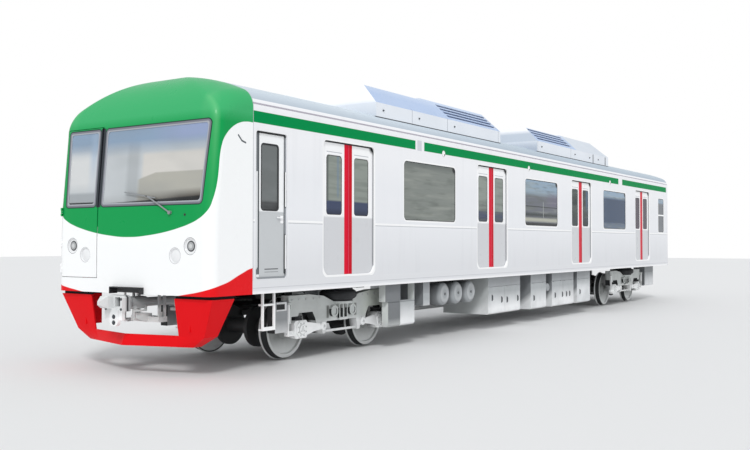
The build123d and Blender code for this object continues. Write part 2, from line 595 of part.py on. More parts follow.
# Wheelsets: axle, two flanged wheels and two brake discs, turned as one piece.
def wheelset(x):
    flange_r = WHEEL_R + FLANGE
    half = [
        (120, 250), (300, 255), (300, 275), (300, 320), (120, 325), (90, 640),
        (95, WHEEL_IN), (350, WHEEL_IN + 8), (385, WHEEL_IN), (flange_r - 8, WHEEL_IN),
        (flange_r, WHEEL_IN + 10), (flange_r - 4, WHEEL_IN + 22), (WHEEL_R + 3, WHEEL_IN + 38),
        (WHEEL_R - 3, WHEEL_OUT), (380, WHEEL_OUT), (365, WHEEL_OUT - 30), (160, WHEEL_OUT - 55),
        (115, WHEEL_OUT), (JOURNAL_R, WHEEL_OUT + 20), (JOURNAL_R, 1085), (0, 1085),
    ]
    # Each pair is a radius and a distance from the middle.
    points = [(radius, y) for radius, y in half] + [(radius, -y) for radius, y in half[::-1]]
    centre = (x, 0, FLANGE + WHEEL_R)
    plane = Plane(origin=centre, x_dir=(0, 0, 1), z_dir=(1, 0, 0))
    return revolve(plane * make_face(Polyline(*points, close=True)), Axis(centre, (0, -1, 0)))


# Bogies: two side frames on transom tubes, axle boxes on guide arms, rubber and air springs.
FRAME_IN, FRAME_OUT = 930, 1070
# One half of the side frame, from the middle to the end: the upper edge, the horn beside the axle
# box, the arch over its guide arm, and the lug that carries the arm's bush.
frame_half = [
    (0, 765), (150, 765), (460, 885), (820, 925), (1300, 925), (1300, 520), (1235, 520), (1235, 620),
    (1080, 620), (1060, 665), (740, 665), (670, 560), (620, 390), (500, 376), (485, 320), (425, 320),
    (390, 500), (0, 500),
]
# Each row is a rib on the outer face: x from the middle at both ends, foot and head.
rib_rows = [
    (-110, 110, 500, 540), (-110, 110, 740, 780), (-16, 16, 500, 780),
    (-110, -88, 500, 780), (88, 110, 500, 780),
]
# Each row is a block at the end of the frame, which carries the damper: x, y and z ranges.
bracket_rows = [(1290, 1380, 1040, 1130, 800, 830), (1290, 1310, 1040, 1120, 740, 800)]
# The leading end of the front bogie carries a case for the train's aerial on a bracket.
aerial_rows = [(1400, 1680, 1000, 1130, 420, 850), (1299, 1401, 1000, 1040, 640, 780)]
# Each row is an arm of a brake caliper, then its jaws: x range, thickness, foot and head.
CALIPER_ARM, CALIPER_JAW = (300, 700, 150, 580, 700), (640, 860, 22, 560, 640)
DISC_Y, DISC_HALF, DISC_GAP = 287, 38, 14
TUBE_AT, TUBE_R, TUBE_Z, TUBE_END, TUBE_BORE = 240, 90, 645, 1115, 62
TIE_X, TIE_Z, TIE_R = 430, 345, 20
ARM_BUSH, BUSH_Z, BUSH_R = 520, 440, 62
BOX_HALF, BOX_FOOT, BOX_TOP = 150, 300, 560
AIR_SEAT, AIR_TOP = 790, BODY_FOOT - 0.5
DAMPER = 1345


def side_outline(half, x):
    """An outline and its mirror image about the bogie's middle."""
    points = [(x + along, up) for along, up in half]
    points += [(x - along, up) for along, up in half[-2:0:-1]]
    return make_face(Polyline(*points, close=True))


def facing_side(y):
    """A plane facing the car's right, whose second coordinate is the height."""
    return Plane(origin=(0, y, FLANGE), x_dir=(1, 0, 0), z_dir=(0, -1, 0))


def side_frame(x, leading):
    """The left side frame with its ribs, tube ends, damper brackets and tie rod."""
    side = extrude(facing_side(FRAME_OUT) * side_outline(frame_half, x), amount=FRAME_OUT - FRAME_IN)
    side += rod(x, 1000, 755, x, 1000, AIR_SEAT, 235)
    side += rod(x - TIE_X, 1000, TIE_Z, x + TIE_X, 1000, TIE_Z, TIE_R)
    for x0, x1, z0, z1 in rib_rows:
        side += box(x + x0, x + x1, FRAME_OUT - 1, TUBE_END - 10, z0, z1)
    for way in (-1, 1):
        tube = x + way * TUBE_AT
        side += rod(tube, 900, TUBE_Z, tube, TUBE_END, TUBE_Z, TUBE_R)
        side -= rod(tube, TUBE_END - 12, TUBE_Z, tube, TUBE_END + 1, TUBE_Z, TUBE_BORE)
        for near, far, *rest in bracket_rows:
            side += box(x + way * near, x + way * far, *rest)
    for near, far, *rest in aerial_rows if leading else []:
        side += box(x + near, x + far, *rest)
    return side


def bogie_frame(x, leading):
    """Two side frames joined by the transom tubes, which carry the brake calipers."""
    side = side_frame(x, leading)
    frame = side + mirror(side, about=Plane.XZ)
    for way in (-1, 1):
        tube = x + way * TUBE_AT
        frame += rod(tube, -940, TUBE_Z, tube, 940, TUBE_Z, TUBE_R)
        for middle in (-DISC_Y, DISC_Y):
            near, far, width, *heights = CALIPER_ARM
            frame += box(x + way * near, x + way * far, middle - width / 2, middle + width / 2, *heights)
            near, far, width, *heights = CALIPER_JAW
            for jaw in (-1, 1):
                inner = middle + jaw * (DISC_HALF + DISC_GAP)
                frame += box(x + way * near, x + way * far, inner, inner + jaw * width, *heights)
    frame += box(x - TUBE_AT, x + TUBE_AT, -260, 260, 560, 700)
    return frame - rod(x, 0, PIN_FOOT, x, 0, 720, PIN_R + RUNNING_GAP)


def octagon(x, y0, y1, z, across):
    """An eight-sided block turned to face the side."""
    plane = Plane(origin=(x, y0, FLANGE + z), x_dir=(1, 0, 0), z_dir=(0, 1, 0))
    sheet = RegularPolygon(across / 2, 8, major_radius=False, rotation=22.5)
    return extrude(plane * sheet, amount=y1 - y0)


# The outline of a guide arm, from the axle box to the bush and back, and the two flanges of the
# bracket on the axle box's far side, which carries the damper's foot: y and z ranges.
guide_arm = [(960, 530), (820, 515), (600, 480), (560, 400), (760, 375), (960, 330)]
foot_rows = [(1060, 1125, 352, 378), (1060, 1082, 352, 420)]
# Each row is a turned piece on the axle box's side: along the bogie, height, y range and radius.
turned_side_rows = [
    (ARM_BUSH, BUSH_Z, FRAME_OUT, 1118, BUSH_R), (ARM_BUSH, BUSH_Z, 1117, 1130, 30),
    (HALF_BASE, WHEEL_R, 1125, 1138, 72),
]
# Each row is a part of the damper: foot, head and radius.
DAMPER_Y = 1100
damper_rows = [(377, 640, 17), (560, 799.5, 26)]


def axle_boxes(x):
    """Housings with an eight-sided cap, a guide arm to the bush on the frame's lug, and a damper."""
    boxes = []
    for way in (-1, 1):
        axle = x + way * HALF_BASE
        housing = side_plate(axle - BOX_HALF, axle + BOX_HALF, BOX_FOOT, BOX_TOP, 50, 935, 1100)
        arm = Polyline(*[(x + way * along, up) for along, up in guide_arm], close=True)
        housing += extrude(facing_side(1106) * make_face(arm), amount=32)
        for along, height, inner, outer, radius in turned_side_rows:
            at = x + way * along
            housing += rod(at, inner, height, at, outer, height, radius)
        housing += octagon(axle, 1099, 1126, WHEEL_R, 236)
        for inner, outer, foot, head in foot_rows:
            housing += box(axle + way * (BOX_HALF - 5), x + way * (DAMPER + 35), inner, outer, foot, head)
        damper = x + way * DAMPER
        for foot, head, radius in damper_rows:
            housing += rod(damper, DAMPER_Y, foot, damper, DAMPER_Y, head, radius)
        housing -= rod(axle, 920, WHEEL_R, axle, 1090, WHEEL_R, JOURNAL_R + RUNNING_GAP)
        boxes += both_sides(housing)
    return boxes


# Each row is a disc of a rubber spring: foot, head and radius.
rubber_rows = [(BOX_TOP, 582, 92), (582, 598, 78), (598, 620, 92)]


def springs(x):
    """Rubber springs on the axle boxes, and the air springs that carry the body."""
    parts = []
    for axle in (x - HALF_BASE, x + HALF_BASE):
        discs = [rod(axle, 1000, foot, axle, 1000, head, radius) for foot, head, radius in rubber_rows]
        parts += both_sides(discs[0].fuse(*discs[1:]))
    profile = make_face([
        Polyline((0, AIR_TOP), (0, AIR_SEAT), (215, AIR_SEAT), (235, AIR_SEAT + 30)),
        ThreePointArc((235, AIR_SEAT + 30), (292, 890), (232, 965)),
        Polyline((232, 965), (215, AIR_TOP), (0, AIR_TOP)),
    ])
    plane = Plane(origin=(x, 1000, FLANGE), x_dir=(1, 0, 0), z_dir=(0, -1, 0))
    air = revolve(plane * profile, Axis((x, 1000, 0), (0, 0, 1)))
    return parts + both_sides(air)


for place, x in BOGIES.items():
    write(f"bogie_frame_{place}", bogie_frame(x, place == "front"))
    write(f"axle_boxes_{place}", *axle_boxes(x))
    write(f"bogie_springs_{place}", *springs(x))
    write(f"wheelset_{place}_leading", wheelset(x + HALF_BASE))
    write(f"wheelset_{place}_trailing", wheelset(x - HALF_BASE))

# Roof units: a skirt seated on the roof, and two halves whose sides lean in to tops of their own
# height. Long louvre slots are sunk in the leaning sides of one half.
SKIRT_HALF, SKIRT_TOP, UNIT_TOP_HALF = 1250, 3960, 850
FRONT_TOP, REAR_TOP = 4295, 4335
roof_cut = body_prism(0, CANT, REAR, MASK_BACK)
LOUVRES, LOUVRE_PITCH, LOUVRE_WIDTH, LOUVRE_SINK, SLAT = 4, 104, 62, 30, 10
# Each row is the back, the step and the front of a unit, how far its top stands back at each end,
# and where its louvres start and end.
unit_rows = {
    "front": (D1 - 5630, D1 - 3200, D1 - 1040, 60, 170, D1 - 5560, D1 - 3540),
    "rear": (D1 - 12200, D1 - 9900, D1 - 7500, 300, 190, D1 - 9720, D1 - 7690),
}


def leaning_side(x, lift):
    """A plane on the left leaning side, x along the car and y up the slope, lifted outwards."""
    rise, run = REAR_TOP - SKIRT_TOP, SKIRT_HALF - UNIT_TOP_HALF
    length = math.hypot(rise, run)
    out = Vector(0, rise / length, run / length)
    origin = Vector(x, SKIRT_HALF, FLANGE + SKIRT_TOP) + out * lift
    return Plane(origin=origin, x_dir=(1, 0, 0), z_dir=(0, rise / length, run / length))


def louvre_bars(start, end, lift, width, depth):
    """Bars along the leaning side, one in each slot."""
    plane = leaning_side((start + end) / 2, lift)
    middle = math.hypot(REAR_TOP - SKIRT_TOP, SKIRT_HALF - UNIT_TOP_HALF) / 2
    bars = []
    for row in range(LOUVRES):
        up = middle + (row - (LOUVRES - 1) / 2) * LOUVRE_PITCH
        bars.append(extrude(plane * Pos(0, -up) * Rectangle(end - start, width), amount=-depth))
    return bars


SKIRT_FOOT, STEP_LEAN = 3640, 150


def roof_unit(back, step, front, back_set, front_set, louvre_back, louvre_front):
    """A unit of two halves. Each row of them is the foot's ends, the top's height and ends."""
    unit = box(back, front, -SKIRT_HALF, SKIRT_HALF, SKIRT_FOOT, SKIRT_TOP)
    halves = [
        (back, step, REAR_TOP, back + back_set, step + STEP_LEAN),
        (step - STEP_LEAN, front, FRONT_TOP, step, front - front_set),
    ]
    for x0, x1, top, x2, x3 in halves:
        low = Pos((x0 + x1) / 2, 0, FLANGE + SKIRT_TOP) * Rectangle(x1 - x0, 2 * SKIRT_HALF)
        lean = (top - SKIRT_TOP) * (SKIRT_HALF - UNIT_TOP_HALF) / (REAR_TOP - SKIRT_TOP)
        high = Pos((x2 + x3) / 2, 0, FLANGE + top) * Rectangle(x3 - x2, 2 * (SKIRT_HALF - lean))
        unit += loft([low, high])
    for bar in louvre_bars(louvre_back, louvre_front, 1, LOUVRE_WIDTH, LOUVRE_SINK + 1):
        for copy in both_sides(bar):
            unit -= copy
    return unit - roof_cut


louvres = []
for place, row in unit_rows.items():
    write(f"air_conditioner_{place}", roof_unit(*row))
    for bar in louvre_bars(row[5], row[6], SLAT - LOUVRE_SINK, LOUVRE_WIDTH, SLAT):
        louvres += both_sides(bar)
write("air_conditioner_louvres", *louvres)

# Equipment under the floor, the same on both sides. Each row is the front and back of a case, its
# head and foot, its depth, its outer face, and the number of doors in that face.
equipment = [
    (-1105, -1560, BODY_FOOT, 735, 120, 1385, 0),
    (-1990, -2010, BODY_FOOT, 735, 120, 1385, 0),
    (-1190, -2010, 735, 325, 120, 1385, 1),
    (-2300, -2520, BODY_FOOT, 608, 500, 1385, 0),
    (-4790, -6275, BODY_FOOT, 290, 1000, 1385, 2),
    (-6820, -7650, BODY_FOOT, 270, 900, 1385, 1),
    (-7990, -9305, BODY_FOOT, 260, 1100, 1385, 2),
    (-9535, -10413, BODY_FOOT, 255, 900, 1385, 1),
    (-15760, -16620, BODY_FOOT, 420, 330, 1130, 1),
]
DOOR_GROOVE, DOOR_HEAD_Z, GROOVE, CASE_CHAMFER = 12, 822, 9, 28


def equipment_case(front, back, head, foot, depth, face, doors):
    """A case with a grooved outline round each door, and its lower outer edge bevelled."""
    case = box(D1 + back, D1 + front, face - depth, face, foot, head)
    if doors:
        low_edges = [e for e in case.edges().filter_by(Axis.X) if e.center().Z < FLANGE + foot + 1]
        case = chamfer([e for e in low_edges if e.center().Y > face - 1], CASE_CHAMFER)
        top = min(DOOR_HEAD_Z, head - 20)
        case -= box(D1 + back, D1 + front, face - DOOR_GROOVE, face, top, top + GROOVE)
        for door in range(1, doors):
            x = D1 + back + (front - back) * door / doors
            case -= box(x - GROOVE / 2, x + GROOVE / 2, face - DOOR_GROOVE, face, foot + CASE_CHAMFER, top)
    return case


cases = [equipment_case(*row) for row in equipment]
write("equipment_cases", *[half for case in cases for half in both_sides(case)])

# Air tanks lie across the car with their ends to the left; the last is a small one between two cases.
# Each row is a place along the car, a height, the two ends and the radius.
tank_rows = [
    (-3140, 770, 330, 1340, 205), (-3645, 770, 330, 1340, 205), (-4150, 770, 330, 1340, 205),
    (-7820, 700, 900, 1370, 88),
]
BAND_WIDTH, BAND_SHEET, BANDS_AT, HANGER_HALF, PLUG_R = 40, 6, (0.22, 0.78), 60, 24
tanks = []
for along, height, inner, outer, radius in tank_rows:
    x = D1 + along
    tank = rod(x, inner, height, x, outer, height, radius)
    tank = fillet(tank.edges().filter_by(GeomType.CIRCLE), radius / 3)
    for share in BANDS_AT:
        y = inner + share * (outer - inner)
        y0, y1 = y - BAND_WIDTH / 2, y + BAND_WIDTH / 2
        tank += rod(x, y0, height, x, y1, height, radius + BAND_SHEET)
        hanger = box(x - HANGER_HALF, x + HANGER_HALF, y0, y1, height + radius - 20, FLOOR_FOOT)
        tank += clear_of_beams(hanger)
    tank += rod(x, outer - 10, height, x, outer + 12, height, PLUG_R)
    tanks.append(tank)
write("air_tanks", *tanks)

# Cab steps under the cab doors: two posts, a foot bar and a rung with an upturned lip.
STEP_BACK, STEP_FRONT, STEP_POST, STEP_RUNG = D1 + 1590, D1 + 1850, 25, 25
STEP_IN, STEP_OUT, STEP_FOOT, STEP_LIP, RUNG_AT = 1290, 1365, 510, 50, 840
step = box(STEP_BACK, STEP_FRONT, STEP_OUT - 8, STEP_OUT, STEP_FOOT, STEP_FOOT + STEP_LIP)
for x in (STEP_BACK, STEP_FRONT - STEP_POST):
    step += box(x, x + STEP_POST, STEP_OUT - 30, STEP_OUT, STEP_FOOT, BODY_FOOT)
for height in (STEP_FOOT, RUNG_AT):
    step += box(STEP_BACK, STEP_FRONT, STEP_IN, STEP_OUT, height, height + STEP_RUNG)
write("cab_steps", *both_sides(step))

# Obstacle deflector: plates raked outwards, with a bar across under the coupler.
# Each row is a height, then x of the nose, x and y of the bend, x and y of the corner, x of the back.
deflector_rows = [
    (355, 3050, 2840, 700, 2755, 990, 2600),
    (490, 3000, 2815, 790, 2781, 1211, 2540),
    (975, 2950, 2893, 810, 2878, 1442, 2476),
]


def deflector_block(inset, back):
    faces = []
    for z, nose, bend_x, bend_y, corner_x, corner_y, tail in deflector_rows:
        edge = corner_y - inset
        half = [(nose - inset, 0), (bend_x - inset, bend_y), (corner_x - inset, edge), (tail - back, edge)]
        outline = half + [(x, -y) for x, y in half[:0:-1]]
        sheet = make_face(Polyline(*[(D1 + x, y) for x, y in outline], close=True))
        faces.append(Pos(0, 0, FLANGE + z) * sheet)
    return loft(faces[:2], ruled=True) + loft(faces[1:], ruled=True)


deflector = deflector_block(0, 0) - deflector_block(20, 400)
deflector -= box(D1 + 2500, D1 + 3100, -800, 800, 500, 980)
# A flange set back from the plates joins them to the mask's foot.
FLANGE_SET, FLANGE_SHEET, FLANGE_LAP = 26, 14, 20
FLANGE_FOOT = deflector_rows[-1][0] - FLANGE_LAP
STAY_Y, STAY_HALF = 1000, 12


def deflector_sheet(inset):
    """The deflector's upper outline, drawn inwards."""
    bend_x, bend_y, corner_x, corner_y, tail = deflector_rows[-1][2:]
    edge = corner_y - inset
    half = [(bend_x - inset, bend_y), (corner_x - inset, edge), (tail, edge)]
    outline = half + [(x, -y) for x, y in half[::-1]]
    return make_face(Polyline(*[(D1 + x, y) for x, y in outline], close=True))


ring_sheet = deflector_sheet(FLANGE_SET) - deflector_sheet(FLANGE_SET + FLANGE_SHEET)
flange_ring = extrude(Pos(0, 0, FLANGE + FLANGE_FOOT) * ring_sheet, amount=BODY_FOOT - FLANGE_FOOT)
deflector += flange_ring - box(D1 + 2300, D1 + 3100, -800, 800, FLANGE_FOOT - 1, BODY_FOOT + 1)
for y in (-STAY_Y, STAY_Y):
    deflector += box(D1 + 2560, D1 + 2830, y - STAY_HALF, y + STAY_HALF, 560, BODY_FOOT)
write("obstacle_deflector", deflector)

# Cab and saloon fittings that show through the glass.
write("cab_bulkhead", box(BULKHEAD, BULKHEAD + 40, -1370, 1370, FLOOR, 3190))
DESK_TOP, KNEE_TOP = 1980, 1860
desk = box(D1 + 2250, D1 + 2740, -560, 1180, FLOOR, DESK_TOP)
desk -= box(D1 + 2200, D1 + 2560, -100, 700, FLOOR, KNEE_TOP)
write("driver_desk", desk)
# The seat's cushion and back, as x ranges and heights, on a post.
SEAT_RIGHT, SEAT_LEFT, SEAT_FOOT = 60, 540, 1640
seat_rows = [(1640, 2080, SEAT_FOOT, 1740), (1600, 1680, 1740, 2300)]
seat = rod(D1 + 1860, 300, FLOOR, D1 + 1860, 300, SEAT_FOOT + 10, 60)
for x0, x1, z0, z1 in seat_rows:
    seat += box(D1 + x0, D1 + x1, SEAT_RIGHT, SEAT_LEFT, z0, z1)
write("driver_seat", seat)
# Benches between the doorways: the inner edge, foot and head of the cushion, then of the back.
bench_rows = [(930, 1560, 1640), (1290, 1640, 2040)]
BENCH_END, POLE_AT, POLE_Y, POLE_R = 760, 740, 900, 17
benches = []
for front, back in zip(DOORS, DOORS[1:]):
    slabs = [
        box(back + BENCH_END, front - BENCH_END, inner, HALF - WALL, z0, z1)
        for inner, z0, z1 in bench_rows
    ]
    benches += both_sides(slabs[0] + slabs[1])
write("benches", *benches)
poles = []
for door in DOORS:
    for x in (door - POLE_AT, door + POLE_AT):
        poles += both_sides(rod(x, POLE_Y, FLOOR, x, POLE_Y, CEILING_TOP, POLE_R))
write("grab_poles", *poles)
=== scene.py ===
import math
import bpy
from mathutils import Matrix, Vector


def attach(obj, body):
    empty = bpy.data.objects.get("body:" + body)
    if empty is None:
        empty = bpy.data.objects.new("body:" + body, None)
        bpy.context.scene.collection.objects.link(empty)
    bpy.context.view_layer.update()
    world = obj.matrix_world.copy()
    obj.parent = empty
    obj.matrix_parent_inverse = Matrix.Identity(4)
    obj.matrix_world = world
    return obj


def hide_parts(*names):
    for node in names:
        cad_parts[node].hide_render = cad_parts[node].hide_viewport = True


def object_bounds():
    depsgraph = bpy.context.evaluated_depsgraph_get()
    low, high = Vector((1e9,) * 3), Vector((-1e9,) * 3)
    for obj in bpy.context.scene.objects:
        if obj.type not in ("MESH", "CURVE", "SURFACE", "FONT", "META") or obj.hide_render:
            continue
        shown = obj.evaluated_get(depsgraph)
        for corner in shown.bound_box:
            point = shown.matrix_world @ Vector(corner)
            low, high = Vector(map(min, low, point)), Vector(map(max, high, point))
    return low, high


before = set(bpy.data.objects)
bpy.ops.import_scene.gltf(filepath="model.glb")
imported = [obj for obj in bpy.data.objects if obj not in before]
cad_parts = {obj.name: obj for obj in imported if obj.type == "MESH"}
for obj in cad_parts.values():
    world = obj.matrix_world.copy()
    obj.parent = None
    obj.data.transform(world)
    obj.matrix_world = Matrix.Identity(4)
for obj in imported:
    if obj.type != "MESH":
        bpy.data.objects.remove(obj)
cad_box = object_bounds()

from fnmatch import fnmatch
from functools import reduce
from inspect import signature
from operator import or_

import bmesh
import bpy
from mathutils import Vector

# Driving sizes in metres, as in the construction. Heights are above the rail top, which is FLANGE
# above the floor that the wheel flanges stand on. Places along the car are measured forward from
# the first saloon door, which is FIRST_DOOR ahead of the frame's origin.
FLANGE = 0.028
FIRST_DOOR = 6.915
HALF = 1.475
DOOR_PITCH = 4.82
DOORS = [-DOOR_PITCH * row for row in range(4)]
DOOR_HEAD = 3.15
REAR, MASK_BACK = -17.0, 2.175
BOGIES = {"front": -0.35, "rear": -14.15}
HALF_BASE = 1.05
WHEEL_R = 0.43
LEAF_OUT, CAB_LEAF_OUT = 1.437, 1.44
FRAME_BACK = 1.445
CAB_DOOR_BACK, CAB_DOOR_FRONT = 1.462, 2.133

# Openings along the side: ends, foot, head, radius of the upper corners and of the lower ones.
BIG_WINDOWS = [
    ((a + b) / 2 - 0.88, (a + b) / 2 + 0.88, 2.06, 3.04, 0.08, 0.08)
    for a, b in zip(DOORS, DOORS[1:])
]
SMALL_WINDOW = (-16.563, -16.012, 2.02, 3.03, 0.06, 0.06)
DOORWAYS = [(door - 0.66, door + 0.66, 1.21, 3.17, 0.08, 0.15) for door in DOORS]
CAB_DOORWAY = (CAB_DOOR_BACK + 0.02, CAB_DOOR_FRONT - 0.02, 1.21, DOOR_HEAD, 0.04, 0.04)
CAB_PANE = (1.63, 1.97, 2.12, 2.99, 0.04, 0.04)
LEAF_PANE = (0.15, 0.55, 2.09, 2.975, 0.06, 0.06)

# Panes of the front: inner edge, outer edge at the foot, how far the outer edge leans outwards for
# each metre up, foot, head and corner radius. The main pane lies to the left, the other in the
# emergency door.
MAIN_PANE = (-0.575, 1.315, 0.0657, 2.165, 3.23, 0.06)
DOOR_PANE = (0.675, 1.3, 0.0329, 2.165, 3.23, 0.05)

# The photograph's camera.
CAMERA_PLACE = (17.742, 9.13, 1.705)
CAMERA_TURN = (91.189, -0.05, 123.653)
CAMERA_LENS, SENSOR, CAMERA_REACH = 42.53, 36.0, 200.0

# Light and floor. The sun's width is an angle in degrees.
SKY_STRENGTH, SUN_STRENGTH, SUN_ANGLE = 0.76, 1.3, 12
SUN_FROM = (0.62, 0.42, 0.66)
FLOOR_REACH, FLOOR_GREY = 90.0, (231.1, 231.1, 231.1)

# Edges of the pieces that fold by more than this many degrees stay sharp.
SHARP_ANGLE = 35

# Directions.
AHEAD, OUTWARD, UP = Vector((1, 0, 0)), Vector((0, 1, 0)), Vector((0, 0, 1))


def tone(color):
    """A colour as a screen shows it, from 0 to 255, turned to linear light and made opaque."""
    parts = [part / 255 for part in color]
    return (*(part / 12.92 if part <= 0.04045 else ((part + 0.055) / 1.055) ** 2.4 for part in parts), 1.0)


# Screen colours that name a paint, or that more than one piece uses.
MASK_WHITE = (251, 252, 252)
WHITE = (253, 253, 255)
MIDDLE_WHITE = (246, 247, 250)
LOWER_WHITE = (228, 229, 232)
BRIGHT = (254, 254, 254)
GREEN = (14, 156, 80)
RED = (232, 20, 28)
CRIMSON = (224, 8, 48)
DARK_CRIMSON = (202, 2, 32)
STRIPE_GREEN = (6, 142, 77)
ROOF_GREY = (209, 220, 229)
SOFT_LINE = (188, 190, 194)
BLACK = (24, 25, 27)
STEEL = (196, 198, 200)
CAST_WHITE = (252, 253, 253)
UNIT_BLUE = (180, 200, 232)
UNIT_WHITE = (236, 240, 246)
NAVY = (36, 47, 86)


def put(socket, value):
    """Links a socket to a value, or sets it to a number, vector or colour."""
    if isinstance(value, Value):
        socket.id_data.links.new(value.socket, socket)
    else:
        socket.default_value = value


def operation(name):
    """A method that works out a new value from its own and perhaps another."""
    return lambda self, *others: self.math(name, self, *others)


class Value:
    """A number that varies over the surface. Masks run from zero to one: a * b is one where both are,
    a | b where either is, and ~a where a is not. For other values | is the greater and & the lesser."""

    def __init__(self, socket):
        self.socket = socket

    def node(self, kind):
        return self.socket.id_data.nodes.new(kind)

    def math(self, operation, *values):
        made = self.node("ShaderNodeMath")
        made.operation = operation
        for socket, value in zip(made.inputs, values):
            put(socket, value)
        return Value(made.outputs[0])

    __add__, __sub__, __mul__ = operation("ADD"), operation("SUBTRACT"), operation("MULTIPLY")
    __or__, __and__, __abs__ = operation("MAXIMUM"), operation("MINIMUM"), operation("ABSOLUTE")
    root = operation("SQRT")

    def __rsub__(self, other):
        return self.math("SUBTRACT", other, self)

    def __invert__(self):
        return 1 - self

    def __neg__(self):
        return self * -1

    def ramp(self, low, high, end=1, start=0):
        """Runs from its start to its end while the value runs from low to high."""
        made = self.node("ShaderNodeMapRange")
        names = ("Value", "From Min", "From Max", "To Min", "To Max")
        for name, value in zip(names, (self, low, high, start, end)):
            put(made.inputs[name], value)
        return Value(made.outputs["Result"])

    def above(self, level, soft=0.003):
        """Turns from zero to one where the value passes a level."""
        return (self - level).ramp(-soft, soft)

    def below(self, level, soft=0.003):
        return (self - level).ramp(-soft, soft, 0, 1)

    def band(self, low, high, soft=0.003):
        """One between two levels."""
        return self.above(low, soft) * self.below(high, soft)

    def near(self, centres, half):
        """One within a distance of any of the centres."""
        return reduce(or_, [self.band(centre - half, centre + half, 0.001) for centre in centres])

    def curve(self, points, span_in, span_out):
        """A smooth curve through points, each an input and an output within the two spans."""
        made = self.node("ShaderNodeFloatCurve")
        line = made.mapping.curves[0].points
        spans = (span_in, span_out)
        scaled = [[(a - low) / (high - low) for a, (low, high) in zip(point, spans)] for point in points]
        line[0].location, line[1].location = scaled[0], scaled[-1]
        for point in scaled[1:-1]:
            line.new(*point)
        made.mapping.update()
        put(made.inputs["Value"], self.ramp(*span_in))
        return Value(made.outputs["Value"]).ramp(0, 1, *span_out[::-1])


def hypot(p, q):
    """Distance from the point where both values are zero."""
    return (p * p + q * q).root()


def from_bar(p, q, start, end):
    """Distance from a line between two points in a plane of two coordinates."""
    length = math.dist(start, end)
    run_p, run_q = (end[0] - start[0]) / length, (end[1] - start[1]) / length
    ahead = (p - start[0]) * run_p + (q - start[1]) * run_q
    aside = (p - start[0]) * run_q - (q - start[1]) * run_p
    return hypot(ahead - length | -ahead | 0, aside)


def outside_box(sideways, upwards, radius):
    """How far a place lies outside a box with round corners, given how far it lies past their centres."""
    corner = hypot(sideways | 0, upwards | 0)
    return corner + ((sideways | upwards) & 0) - radius


